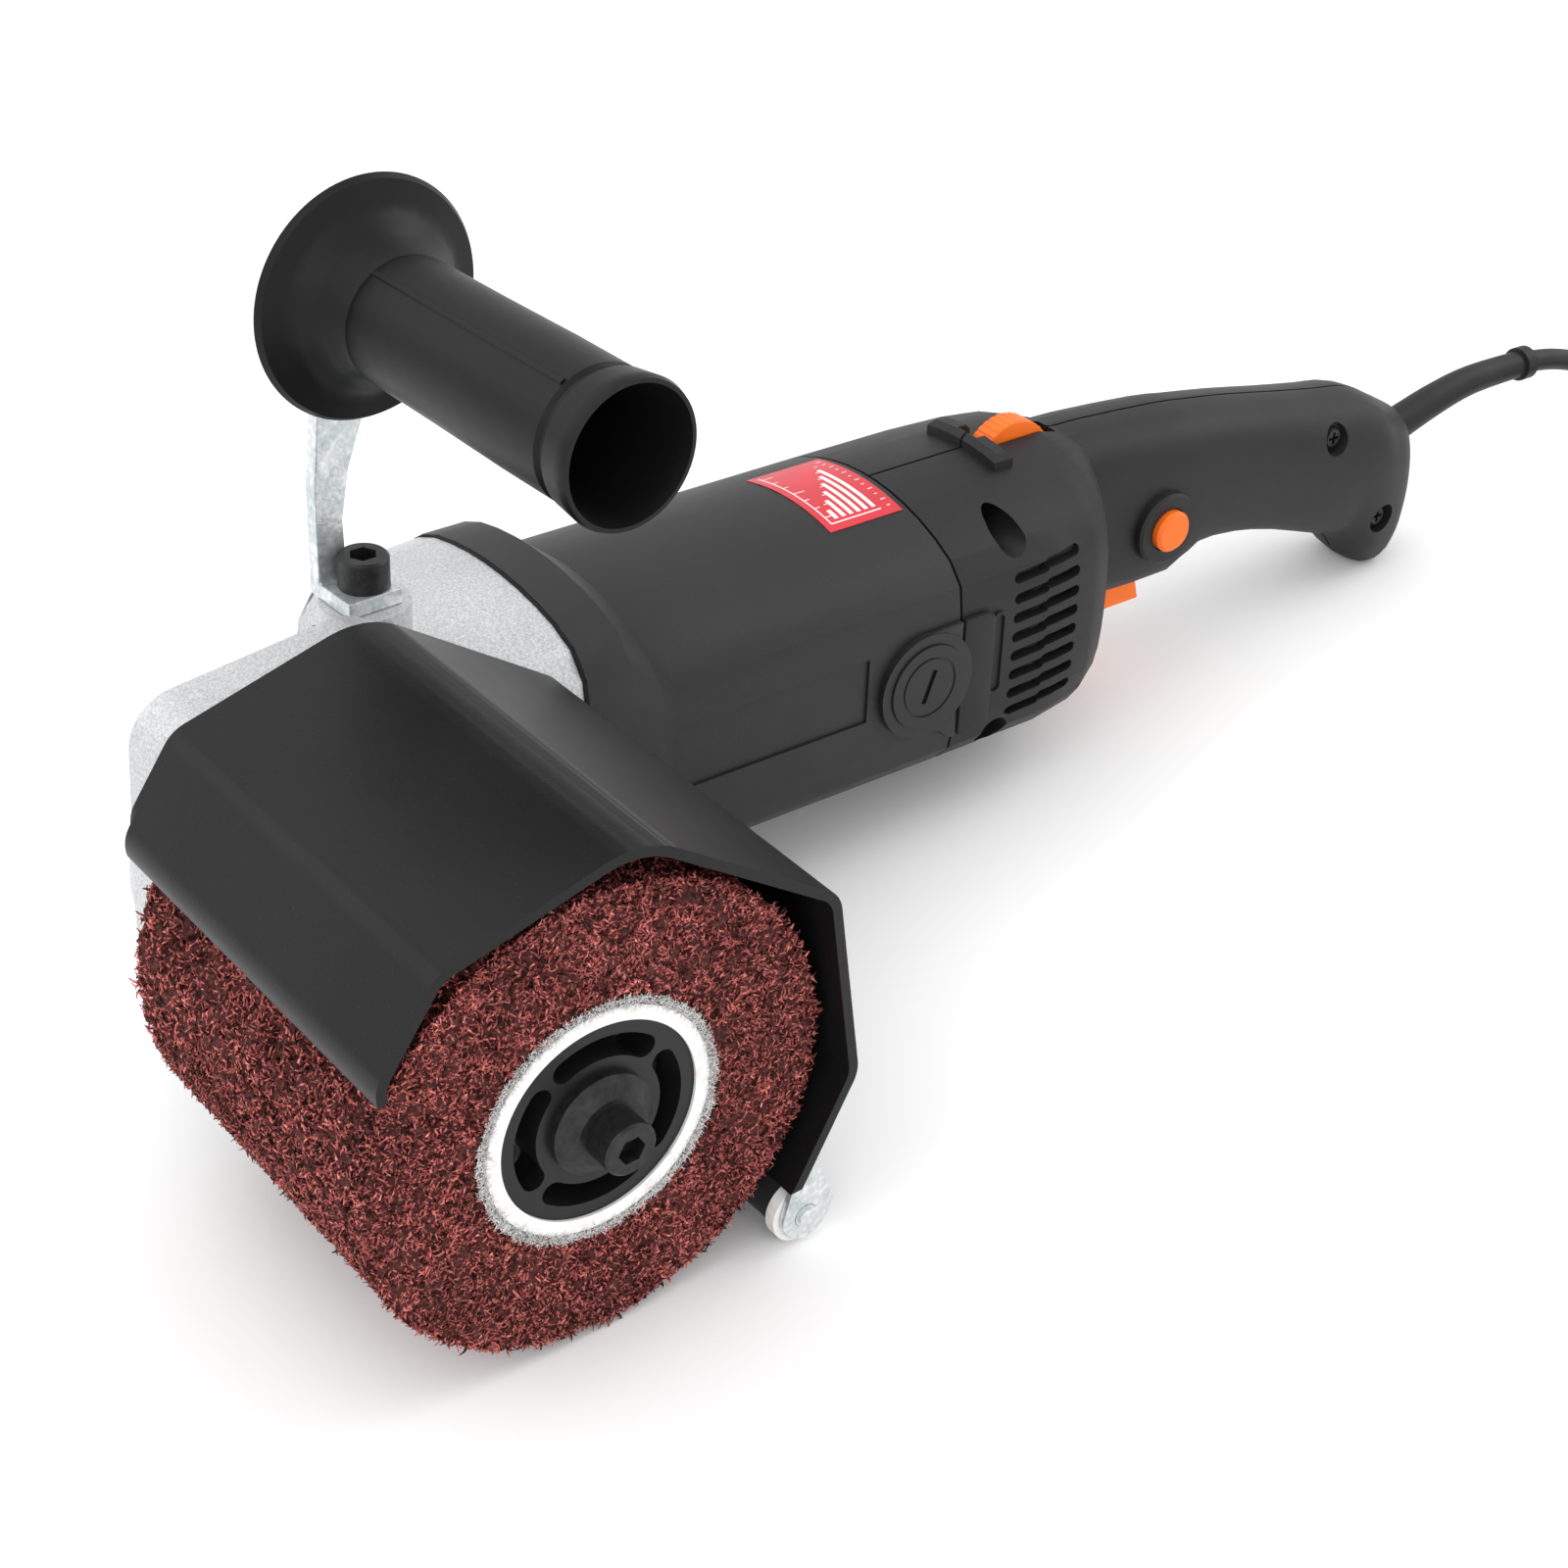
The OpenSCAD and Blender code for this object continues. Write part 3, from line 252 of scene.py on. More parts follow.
def rubber(name, color=(0.012, 0.012, 0.013), low=0.42, high=0.62, size=1800):
    """Matt rubber or carbon with a fine grain."""
    s = Shader(name, color, spec=0.3)
    dark, light = shades(color, 0.75, 1.4)
    s.color(s.ramp(s.noise(40, 5), [(0.3, dark), (0.7, light)]))
    s.rough(s.noise(60, 5), low, high)
    s.bump((s.noise(size, 3), 0.2, 0.00025))
    return s.mat


def orange_plastic(name="orange_plastic"):
    """Bright orange moulded plastic of the trigger, lock button and dial."""
    s = Shader(name, (0.93, 0.17, 0.012), spec=0.3)
    s.color(s.ramp(s.noise(60, 4), [(0.3, (0.9, 0.145, 0.008)), (0.7, (0.97, 0.19, 0.016))]))
    s.rough(s.noise(50, 5), 0.34, 0.5)
    s.bump((s.noise(1900, 2), 0.1, 0.0002))
    return s.mat


def white_fibre(name="fibre_tube"):
    """White laminated fibre tube: faint wound layers and a little red dust."""
    s = Shader(name, (0.85, 0.85, 0.84))
    layers = s.noise(500, 4, 0.6, (1, 0.3, 1))
    dust = s.ramp(s.noise(240, 5), [(0.58, (1, 1, 1)), (0.78, (0.86, 0.74, 0.71))])
    paper = s.ramp(layers, [(0.3, (0.8, 0.8, 0.79)), (0.7, (0.9, 0.9, 0.89))])
    s.color(s.mix(1.0, paper, dust, "MULTIPLY"))
    s.rough(s.noise(120, 4), 0.5, 0.75)
    s.bump((layers, 0.2, 0.0003))
    return s.mat


def abrasive_fibre(name, level):
    """Resin-bonded nylon fibre loaded with red-brown abrasive grain."""
    s = Shader(name, (0.2, 0.05, 0.04), rough=0.7, spec=0.12)
    tones = [(0.3, (0.05, 0.009, 0.008)), (0.44, (0.16, 0.038, 0.035)), (0.58, (0.31, 0.1, 0.088)),
        (0.74, (0.54, 0.27, 0.235))]
    grain = s.ramp(s.noise(850, 5, 0.75), [(at, tuple(c * level for c in tone)) for at, tone in tones])
    patches = s.ramp(s.noise(55, 4, 0.6), [(0.3, (0.62, 0.56, 0.56)), (0.7, (1.12, 1.05, 1.05))])
    s.color(s.mix(1.0, grain, patches, "MULTIPLY"))
    s.rough(s.noise(700, 3), 0.5, 0.8)
    s.bump((s.noise(1600, 4, 0.7), 0.5, 0.0004))
    return s.mat


def copper_wire(name="copper_wire"):
    """Enamelled copper turns."""
    s = Shader(name, (0.5, 0.2, 0.08), metal=0.85)
    turns = s.noise(1400, 3, 0.6, (1, 0.2, 0.2))
    s.color(s.ramp(turns, [(0.3, (0.28, 0.09, 0.03)), (0.7, (0.66, 0.3, 0.14))]))
    s.rough(s.noise(300, 3), 0.25, 0.45)
    s.bump((turns, 0.5, 0.0004))
    return s.mat


def brass(name="brass"):
    """Turned brass, a little tarnished."""
    s = Shader(name, (0.6, 0.42, 0.17), metal=1.0)
    s.color(s.ramp(s.noise(120, 5), [(0.3, (0.48, 0.32, 0.12)), (0.7, (0.7, 0.52, 0.24))]))
    s.rough(s.noise(200, 4), 0.25, 0.42)
    s.bump((s.noise(1300, 3), 0.1, 0.0002))
    return s.mat


def circuit_board(name="circuit_board"):
    """Green lacquered board."""
    s = Shader(name, (0.03, 0.16, 0.06))
    s.color(s.ramp(s.voronoi(260), [(0.2, (0.02, 0.1, 0.04)), (0.7, (0.05, 0.24, 0.1))]))
    s.rough(s.noise(200, 3), 0.3, 0.5)
    s.bump((s.noise(900, 2), 0.2, 0.0002))
    return s.mat


def sticker(name, color, low=0.3, high=0.45):
    """Printed film with a thin gloss, also used for loose glass fibres."""
    s = Shader(name, color, coat=0.15)
    dark, light = shades(color, 0.88, 1.08)
    s.color(s.ramp(s.noise(90, 4), [(0.3, dark), (0.7, light)]))
    s.rough(s.noise(80, 4), low, high)
    s.bump((s.noise(1300, 2), 0.05, 0.0002))
    return s.mat


M = {
    "housing": moulded_plastic("housing_plastic", (0.018, 0.018, 0.019), 0.42, 0.6, spec=0.33),
    "handle": moulded_plastic("handle_plastic", (0.015, 0.015, 0.016), 0.42, 0.62, 0.3, 2300, spec=0.27),
    "side_handle": glossy_plastic("side_handle_plastic", (0.006, 0.006, 0.0065), 0.3, 0.52),
    "hub": moulded_plastic("hub_plastic", (0.009, 0.009, 0.0095), 0.3, 0.48, 0.14, spec=0.32),
    "cap": moulded_plastic("cap_plastic", (0.014, 0.014, 0.0145), 0.38, 0.54, 0.14, spec=0.33),
    "cast": cast_metal("cast_alloy", (0.64, 0.65, 0.66)),
    "zinc": zinc_plating(),
    "steel": steel("ground_steel"),
    "dark_steel": steel("stack_steel", (0.2, 0.2, 0.21), 0.35, 0.55, (1, 0.1, 0.1)),
    "oxide": black_oxide(),
    "guard": powder_coat(),
    "rubber": rubber("lead_rubber"),
    # Near-black joint: partly the dark joint itself, partly a painted shadow of the step between gear case and
    # flange.
    "gasket": rubber("joint_painted_shadow", (0.003, 0.003, 0.003), 0.7, 0.85),
    "roller": rubber("roller_rubber", (0.03, 0.03, 0.031), 0.5, 0.7, 900),
    "orange": orange_plastic(),
    "fibre": white_fibre(),
    # The web and the nap are copies of one abrasive fibre at different levels. The dark web and the dark nap
    # fibres are partly the fibre's own tone and partly painted shade for the gaps in the pile; the light nap
    # fibres are partly a painted highlight for its lit tips.
    "abrasive": abrasive_fibre("abrasive_web", 0.36),
    "nap_painted_shade": abrasive_fibre("nap_fibre_painted_shade", 0.22),
    "nap": abrasive_fibre("nap_fibre", 1.85),
    "nap_painted_highlight": abrasive_fibre("nap_fibre_painted_highlight", 3.1),
    "fuzz": sticker("glass_fuzz", (0.86, 0.85, 0.84), 0.5, 0.7),
    "copper": copper_wire(),
    "brass": brass(),
    "carbon": rubber("carbon", (0.03, 0.03, 0.032), 0.4, 0.55, 900),
    "board": circuit_board(),
    "tie": moulded_plastic("tie_plastic", (0.75, 0.75, 0.73), 0.4, 0.5),
    "red": sticker("label_red", (0.62, 0.014, 0.03)),
    "print": sticker("label_white", (0.86, 0.82, 0.82)),
}

LOOKS = {
    "fibre": ["core_tube", "roller_discs"],
    "hub": ["hub_near", "hub_far", "cooling_fan", "air_baffle", "switch_body", "cord_clamp"],
    "cap": ["brush_caps"],
    "housing": ["motor_housing"],
    "handle": ["handle_shell_left", "handle_shell_right"],
    "side_handle": ["side_handle"],
    "steel": ["drum_keys", "spindle", "crown_wheel", "spindle_bearing_outer", "spindle_bearing_inner",
        "motor_shaft", "pinion", "front_bearing_outer", "front_bearing_inner", "rear_bearing_outer",
        "rear_bearing_inner", "trigger_pin", "dial_axle", "handle_stud"],
    "dark_steel": ["rotor_core", "stator_core"],
    "zinc": ["handle_bracket", "roller_plates", "roller_axle", "handle_nut", "cover_screws",
        "housing_screws"],
    "oxide": ["drum_bolt", "drum_washer", "bracket_screw", "handle_screws"],
    "brass": ["spindle_rear_bush", "brush_holders"],
    "copper": ["rotor_windings", "stator_windings", "commutator"],
    "carbon": ["carbon_brushes"],
    "cast": ["gear_case", "gear_case_cover"],
    "guard": ["guard"],
    "orange": ["trigger", "lock_button", "speed_dial"],
    "board": ["speed_board"],
    "roller": ["guide_roller"],
    "rubber": ["strain_relief", "plug"],
    "tie": ["coil_tie"],
}


def edge_group(angle):
    """Geometry nodes that shade smoothly up to an angle between faces."""
    g = bpy.data.node_groups.new(f"smooth_{angle}", "GeometryNodeTree")
    g.interface.new_socket("Geometry", in_out="INPUT", socket_type="NodeSocketGeometry")
    g.interface.new_socket("Geometry", in_out="OUTPUT", socket_type="NodeSocketGeometry")
    i, o = g.nodes.new("NodeGroupInput"), g.nodes.new("NodeGroupOutput")
    faces, edges = g.nodes.new("GeometryNodeSetShadeSmooth"), g.nodes.new("GeometryNodeSetShadeSmooth")
    faces.domain, edges.domain = "FACE", "EDGE"
    faces.inputs["Shade Smooth"].default_value = True
    edges.inputs["Shade Smooth"].default_value = False
    between = g.nodes.new("GeometryNodeInputMeshEdgeAngle")
    over = g.nodes.new("FunctionNodeCompare")
    over.data_type, over.operation = "FLOAT", "GREATER_THAN"
    over.inputs[1].default_value = math.radians(angle)
    g.links.new(i.outputs[0], faces.inputs["Geometry"])
    g.links.new(between.outputs["Unsigned Angle"], over.inputs[0])
    g.links.new(faces.outputs["Geometry"], edges.inputs["Geometry"])
    g.links.new(over.outputs["Result"], edges.inputs["Selection"])
    g.links.new(edges.outputs["Geometry"], o.inputs[0])
    return g


SMOOTH = edge_group(32)


def soften(o, bevel=0.0, weld=True, segments=2):
    """Welds a mesh for display, rounds its sharp edges a little and shades it smoothly between them."""
    if "custom_normal" in o.data.attributes:
        o.data.attributes.remove(o.data.attributes["custom_normal"])
    if weld:
        w = o.modifiers.new("weld", "WELD")
        w.merge_threshold = 0.000004
    if bevel:
        b = o.modifiers.new("edges", "BEVEL")
        b.width = bevel
        b.segments = segments
        b.limit_method = "ANGLE"
        b.angle_limit = math.radians(38)
    o.modifiers.new("shading", "NODES").node_group = SMOOTH
    if weld:
        flat = o.modifiers.new("normals", "WEIGHTED_NORMAL")
        flat.keep_sharp = True


# Widths of the rounded edges, in metres
BEVELS = {"guard": 0.0004, "handle_bracket": 0.0006, "roller_plates": 0.0003, "trigger": 0.0006,
    "brush_caps": 0.0003, "lock_button": 0.0005, "speed_dial": 0.0004}
# The plug's body ends here and its pins begin
PLUG_FACE_X = 279.9


def dress_cad_nodes():
    """Gives every CAD node its material; the pins of the plug are brass."""
    for look, names in LOOKS.items():
        for n in names:
            o = NODES[n]
            o.data.materials.clear()
            o.data.materials.append(M[look])
            soften(o, BEVELS.get(n, 0.0))
    plug = NODES["plug"]
    plug.data.materials.append(M["brass"])
    for p in plug.data.polygons:
        if p.center.x < PLUG_FACE_X * MM:
            p.material_index = 1


dress_cad_nodes()

# ------------------------------------------------------------------ mesh helpers


def new_object(name, bm, material, body="tool", bevel=0.0, smooth=True):
    """A finished mesh piece that rides on a body."""
    mesh = bpy.data.meshes.new(name)
    bm.normal_update()
    bm.to_mesh(mesh)
    bm.free()
    o = bpy.data.objects.new(name, mesh)
    bpy.context.scene.collection.objects.link(o)
    mesh.materials.append(material)
    if smooth:
        soften(o, bevel, weld=False)
    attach(o, body)
    return o


def catmull(points, k):
    """A smooth curve through the points, with k steps between neighbours."""
    p = [Vector(q) for q in points]
    out = []
    for i in range(len(p) - 1):
        a, b, c, d = p[max(i - 1, 0)], p[i], p[i + 1], p[min(i + 2, len(p) - 1)]
        for s in range(k):
            t = s / k
            square, cube = 2 * a - 5 * b + 4 * c - d, 3 * b - a - 3 * c + d
            out.append(0.5 * (2 * b + (c - a) * t + square * t * t + cube * t ** 3))
    return out + [p[-1]]


# ------------------------------------------------------------------ cord

COIL = Vector((372, -16, 0))
# The free runs of the lead, from the handle to the coil and from the coil to the plug
RUN = [(291, 56.7, 44.5), (305, 56.6, 41.5), (321, 56, 35.5), (338, 54, 25.5), (355, 51, 15.5),
    (372, 47, 8.5), (388, 42, 5), (402, 34, 4), (412, 23, 3.7), (418, 10, 3.6), (421, -3, 3.6), (422, -16, 3.6)]
LEAD = [(422, -16, 10.5), (421.5, -32, 10), (418, -50, 7.6), (410, -67, 5.4), (398, -82, 4.4),
    (382, -94, 4.4), (363, -102, 5.6), (346, -105, 8.5), (328, -105, 12.5)]


def coil_points():
    """Six turns: three outside to inside on the floor, three inside to outside on top of them."""
    radii = [45.5, 38.5, 31.5, 31.5, 38.5, 45.5]
    loose = 50.0
    n = 28
    low, high = 3.6, 10.5
    out = []
    for turn in range(6):
        for i in range(n):
            t = i / n
            ease = min(1.0, t / 0.22)
            ease = ease * ease * (3 - 2 * ease)
            before = loose if turn == 0 else radii[turn - 1]
            r = before + (radii[turn] - before) * ease
            if turn == 5 and t > 0.75:
                out_ease = (t - 0.75) / 0.25
                r += (loose - radii[5]) * out_ease * out_ease * (3 - 2 * out_ease)
            z = low if turn < 3 else high
            if turn == 3:
                z = low + (high - low) * ease
            a = -2 * math.pi * t
            out.append((COIL.x + r * math.cos(a), COIL.y + r * math.sin(a), z))
    return out


def make_cord():
    """The whole lead as one curve: from the handle to the coil, round it and on to the plug."""
    path = [Vector(p) * MM for p in catmull(RUN, 4)[:-1] + coil_points() + catmull(LEAD, 4)]
    data = bpy.data.curves.new("mains_cord", "CURVE")
    data.dimensions = "3D"
    data.bevel_depth = 0.0035
    data.bevel_resolution = 4
    data.use_fill_caps = True
    spline = data.splines.new("POLY")
    spline.points.add(len(path) - 1)
    for q, p in zip(spline.points, path):
        q.co = (*p, 1)
    spline.use_smooth = True
    data.materials.append(M["rubber"])
    o = bpy.data.objects.new("mains_cord", data)
    bpy.context.scene.collection.objects.link(o)
    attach(o, "tool")
    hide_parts("cord_run", "cord_coil", "cord_lead")
    return o


make_cord()

# ------------------------------------------------------------------ stage and light


def make_stage():
    """A plain pale floor and an even white surround."""
    bm = bmesh.new()
    bmesh.ops.create_grid(bm, x_segments=8, y_segments=8, size=4)
    mesh = bpy.data.meshes.new("floor")
    bm.to_mesh(mesh)
    bm.free()
    floor = bpy.data.objects.new("floor", mesh)
    floor.location = (0, 0, -0.0002)
    bpy.context.scene.collection.objects.link(floor)
    s = Shader("floor_paper", (0.96, 0.96, 0.96), rough=0.9, spec=0.2)
    s.color(s.ramp(s.noise(3, 2), [(0.3, (0.95, 0.95, 0.95)), (0.7, (0.97, 0.97, 0.97))]))
    mesh.materials.append(s.mat)
    world = bpy.data.worlds.new("world")
    world.use_nodes = True
    world.node_tree.nodes["Background"].inputs[0].default_value = (1, 1, 1, 1)
    world.node_tree.nodes["Background"].inputs[1].default_value = 0.95
    bpy.context.scene.world = world
    bpy.context.scene.view_settings.view_transform = "Standard"


def area_light(name, location, target, size, power):
    """A soft rectangular light aimed at a target."""
    data = bpy.data.lights.new(name, "AREA")
    data.shape = "RECTANGLE"
    data.size, data.size_y = size
    data.energy = power
    o = bpy.data.objects.new(name, data)
    o.location = location
    o.rotation_euler = (Vector(target) - Vector(location)).to_track_quat("-Z", "Y").to_euler()
    bpy.context.scene.collection.objects.link(o)


make_stage()
area_light("key", (-0.9, 0.5, 1.5), (0, 0, 0.05), (2.6, 2.6), 17)
area_light("front", (-0.9, -1.5, 0.9), (-0.1, 0, 0.08), (1.6, 1.2), 7)
area_light("right", (1.5, -0.3, 1.1), (0, 0, 0.08), (1.2, 1.2), 9)

# ------------------------------------------------------------------ drum: web and nap

DRUM_R, DRUM_W, CORE_R = 60.0, 100.0, 29.0
# How far the fibres' roots lie under the drum's true radius
NAP_DEPTH = 2.7


def around_drum(r, angle, y):
    """A point at a radius and an angle about the drum's axis."""
    return in_drum(r * math.cos(angle), y, r * math.sin(angle))


def make_web():
    """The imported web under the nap: a ring whose outside is torn into tufts."""
    rng = random.Random(5)
    n, rows = 420, 118
    profile = []
    for i in range(22):
        profile.append((CORE_R + 0.4 + (DRUM_R - CORE_R - 2.6) * i / 22, 0.6, 0))
    for i in range(rows):
        profile.append((DRUM_R - NAP_DEPTH, 0.8 + (DRUM_W - 1.6) * i / (rows - 1), 1))
    for i in range(9, -1, -1):
        profile.append((CORE_R + 0.4 + (DRUM_R - CORE_R - 2.6) * i / 10, DRUM_W - 0.6, 2))
    bm = bmesh.new()
    rings = []
    for r, y, side in profile:
        ring = []
        for k in range(n):
            a = 2 * math.pi * k / n
            p = around_drum(r, a, y)
            d = noise.fractal(p * 330, 0.9, 2.2, 3) * 1.3 + rng.uniform(-0.45, 0.45)
            if side == 1:
                p = around_drum(r + d * 0.9, a, y + rng.uniform(-0.2, 0.2))
            else:
                edge = min(1.0, (r - CORE_R) / 2)
                p = around_drum(r, a, y + (-1 if side == 0 else 1) * d * 0.55 * edge)
            ring.append(bm.verts.new(p))
        rings.append(ring)
    for a, b in zip(rings, rings[1:]):
        for k in range(n):
            bm.faces.new((a[k], a[(k + 1) % n], b[(k + 1) % n], b[k]))
    a, b = rings[-1], rings[0]
    for k in range(n):
        bm.faces.new((a[k], a[(k + 1) % n], b[(k + 1) % n], b[k]))
    bmesh.ops.recalc_face_normals(bm, faces=bm.faces)
    o = new_object("abrasive_web", bm, M["abrasive"], "drum", smooth=False)
    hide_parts("abrasive_drum")
    return o


def add_fibre(bm, points, radius, shade=0):
    """A thin three-sided fibre along a few points, closed at both ends."""
    last = None
    third = 2 * math.pi / 3
    n = len(points)
    for i, p in enumerate(points):
        t = (points[min(i + 1, n - 1)] - points[max(i - 1, 0)]).normalized()
        u = t.orthogonal().normalized()
        v = t.cross(u)
        r = radius * (1.0 if i < n - 1 else 0.45)
        ring = [bm.verts.new(p + r * (math.cos(third * j) * u + math.sin(third * j) * v)) for j in range(3)]
        if last:
            for j in range(3):
                f = bm.faces.new((last[j], last[(j + 1) % 3], ring[(j + 1) % 3], ring[j]))
                f.material_index = shade
        else:
            bm.faces.new(ring[::-1])
        last = ring
    bm.faces.new(last).material_index = shade


def make_nap(name, count, seed, place, materials=("nap_painted_shade", "nap", "nap_painted_highlight"), radius=(0.17, 0.38),
        lengths=(1.7, 2.1, 2.5, 2.9)):
    """Short curled fibres standing out of the web. place gives (root, outward direction, tangents)."""
    rng = random.Random(seed)
    bm = bmesh.new()
    for _ in range(count):
        root, out, u, v = place(rng)
        clump = noise.noise(root * 260)
        lean = (u * rng.gauss(clump, 0.9) + v * rng.gauss(-clump, 0.9))
        length = MM * rng.choice(lengths)
        d = (out * 0.9 + lean * 0.6).normalized()
        curl = (u * rng.gauss(0, 1.1) + v * rng.gauss(0, 1.1) - out * rng.uniform(0.1, 0.9))
        points = [root - d * 0.4 * MM]
        for k in (0.2, 1.3):
            points.append(points[-1] + (d + curl * k).normalized() * length / 2)
        # Each fibre takes the dark, mid or light copy at random: painted shade, plain tone or painted
        # highlight.
        shade = rng.choice([0, 1, 1, 2]) if len(materials) > 1 else 0
        add_fibre(bm, points, MM * rng.uniform(*radius), shade)
    o = new_object(name, bm, M[materials[0]], "drum", smooth=False)
    for m in materials[1:]:
        o.data.materials.append(M[m])
    for p in o.data.polygons:
        p.use_smooth = True
    return o


def rim_place(y0, y1):
    """Fibre roots on the rim between y0 and y1."""
    def place(rng):
        a = rng.uniform(0, 2 * math.pi)
        y = rng.uniform(y0, y1)
        out = Vector((math.cos(a), 0, math.sin(a)))
        along = Vector((-math.sin(a), 0, math.cos(a)))
        return around_drum(DRUM_R - NAP_DEPTH, a, y), out, along, Vector((0, 1, 0))
    return place


def face_place(y, sign):
    """Fibre roots on one flat face, leaning outwards near the rim."""
    def place(rng):
        a = rng.uniform(0, 2 * math.pi)
        r = math.sqrt(rng.uniform((CORE_R + 1.2) ** 2, (DRUM_R - 1.8) ** 2))
        radial = Vector((math.cos(a), 0, math.sin(a)))
        out = Vector((0, sign, 0)) + radial * max(0.0, (r - 55) / 8)
        return around_drum(r, a, y), out, radial, Vector((-math.sin(a), 0, math.cos(a)))
    return place


make_web()
# Long fibres on top, and shorter ones between them where the drum is seen close up
make_nap("nap_rim_near", 13500, 11, rim_place(0.5, 50))
make_nap("nap_rim_under", 9000, 16, rim_place(0.5, 60), lengths=(1.0, 1.4, 1.8))
make_nap("nap_rim_far", 12500, 12, rim_place(50, 99.5))
make_nap("nap_face_near", 13500, 13, face_place(1.0, -1))
make_nap("nap_face_under", 12000, 17, face_place(1.0, -1), lengths=(1.0, 1.4, 1.8))
make_nap("nap_face_far", 3500, 14, face_place(DRUM_W - 1.2, 1), radius=(0.16, 0.3), lengths=(0.8, 1.0, 1.2))


def fuzz_place(rng):
    """Roots just outside the end of the white tube."""
    a = rng.uniform(0, 2 * math.pi)
    radial = Vector((math.cos(a), 0, math.sin(a)))
    out = Vector((0, -1, 0)) + radial * 0.5
    return around_drum(rng.uniform(28.2, 30.6), a, 0.0), out, radial, Vector((-math.sin(a), 0, math.cos(a)))


make_nap("tube_fuzz", 4200, 15, fuzz_place, ("fuzz",), (0.06, 0.12), (1.0, 1.6, 2.2))

# ------------------------------------------------------------------ housing details


def side_ring(x, half_w, half_h, radius, sharp, m, grow=0.0):
    """An outline of the housing at x, as in the CAD source: flat sides, domed top and bottom."""
    half_w, half_h, radius = half_w + grow, half_h + grow, radius + grow
    out = []
    for i in range(m):
        a = 2 * math.pi * (i + 0.5) / m
        c, v, d = abs(math.cos(a)), abs(math.sin(a)), radius - half_h
        side = half_w / c
        dome = math.sqrt(radius ** 2 - (d * c) ** 2) - d * v
        r = (side ** -sharp + dome ** -sharp) ** (-1 / sharp)
        out.append(in_tool(x, MOTOR_Y + r * math.cos(a), r * math.sin(a)))
    return out


def band(bm, rings):
    """A closed ring-shaped skin over outlines that come back to the first one."""
    rows = [[bm.verts.new(p) for p in r] for r in rings]
    m = len(rows[0])
    for a, b in zip(rows, rows[1:] + rows[:1]):
        for k in range(m):
            bm.faces.new((a[k], a[(k + 1) % m], b[(k + 1) % m], b[k]))
    bmesh.ops.recalc_face_normals(bm, faces=bm.faces)


def make_gasket():
    """The joint between the gear case and the motor housing's flange, near-black as a painted shadow of the
    step there.
    """
    bm = bmesh.new()
    flange = (43, 48, 111, 9, 96)
    x0, x1, outside, inside = 66.5, 67.48, -0.15, -2.0
    corners = ((x0, outside), (x1, outside), (x1, inside), (x0, inside))
    band(bm, [side_ring(x, *flange, grow=grow) for x, grow in corners])
    o = new_object("case_gasket", bm, M["gasket"])


def prism(bm, outline, place, y0, y1, material=0):
    """An outline of (x, z) points between y0 and y1 of a frame given by place."""
    a = [bm.verts.new(place(x, y0, z)) for x, z in outline]
    b = [bm.verts.new(place(x, y1, z)) for x, z in outline]
    faces = [bm.faces.new(a), bm.faces.new(b[::-1])]
    n = len(outline)
    for k in range(n):
        faces.append(bm.faces.new((a[k], b[k], b[(k + 1) % n], a[(k + 1) % n])))
    for f in faces:
        f.material_index = material
    bmesh.ops.recalc_face_normals(bm, faces=faces)


def arc(cx, cz, r, a0, a1, n):
    """Points (x, z) along an arc between two angles in degrees."""
    return [(cx + r * math.cos(math.radians(a0 + (a1 - a0) * i / n)),
        cz + r * math.sin(math.radians(a0 + (a1 - a0) * i / n))) for i in range(n + 1)]


# How far out from the motor's axis the raised plates start and end
PLATE_IN, PLATE_OUT = 41.6, 43.7


def make_boss_plates(side):
    """The raised plate that joins each brush boss to the seam and runs on over the bell."""
    y0, y1 = MOTOR_Y + side * PLATE_IN, MOTOR_Y + side * PLATE_OUT
    bm = bmesh.new()
    prism(bm, arc(174.5, 0, 12.6, 90, -90, 24) + [(174.5, -15.2), (180, -16), (183, -19.2), (186, -19.6),
        (186, 15.8), (174.5, 15.4)], in_tool, y0, y1)
    new_object("boss_plate_" + SIDES[side], bm, M["housing"], bevel=0.0004)
    bm = bmesh.new()
    rounded_end = arc(194.5, 12.8, 3, 90, 0, 6) + arc(194.5, -16.6, 3, 0, -90, 6)
    prism(bm, [(186.8, 15.8)] + rounded_end + [(186.8, -19.6)], in_tool, y0, y1)
    new_object("bell_plate_" + SIDES[side], bm, M["handle"], bevel=0.0004)


def make_bell_oval(side):
    """The raised rim of a small blank oval on the bell, beside the cooling slots."""
    def loop(r, out):
        outline = arc(199.8, 11.8, r, 0, 180, 10) + arc(199.8, -8.8, r, 180, 360, 10)
        return [in_tool(x, MOTOR_Y + side * out, z) for x, z in outline]
    outer_r, inner_r, root, top = 2.4, 1.6, 41.4, 42.75
    bm = bmesh.new()
    band(bm, [loop(outer_r, root), loop(outer_r, top), loop(inner_r, top), loop(inner_r, root)])
    new_object("bell_oval_" + SIDES[side], bm, M["handle"])


def dome_patch(bm, x0, x1, y0, y1, lift, thick, material=0):
    """A thin closed patch that lies on the housing's domed top."""
    n = max(2, int(abs(y1 - y0) / 2.5))
    top, dome_r = 40.5, 70
    def at(x, y, up):
        return in_tool(x, y, top - dome_r + math.sqrt(dome_r ** 2 - (y - MOTOR_Y) ** 2) + up)
    rows = []
    for i in range(n + 1):
        y = y0 + (y1 - y0) * i / n
        corners = ((x0, lift), (x1, lift), (x1, lift + thick), (x0, lift + thick))
        rows.append([bm.verts.new(at(x, y, up)) for x, up in corners])
    faces = [bm.faces.new(rows[0]), bm.faces.new(rows[-1][::-1])]
    for a, b in zip(rows, rows[1:]):
        for k in range(4):
            faces.append(bm.faces.new((a[k], b[k], b[(k + 1) % 4], a[(k + 1) % 4])))
    for f in faces:
        f.material_index = material
    bmesh.ops.recalc_face_normals(bm, faces=faces)


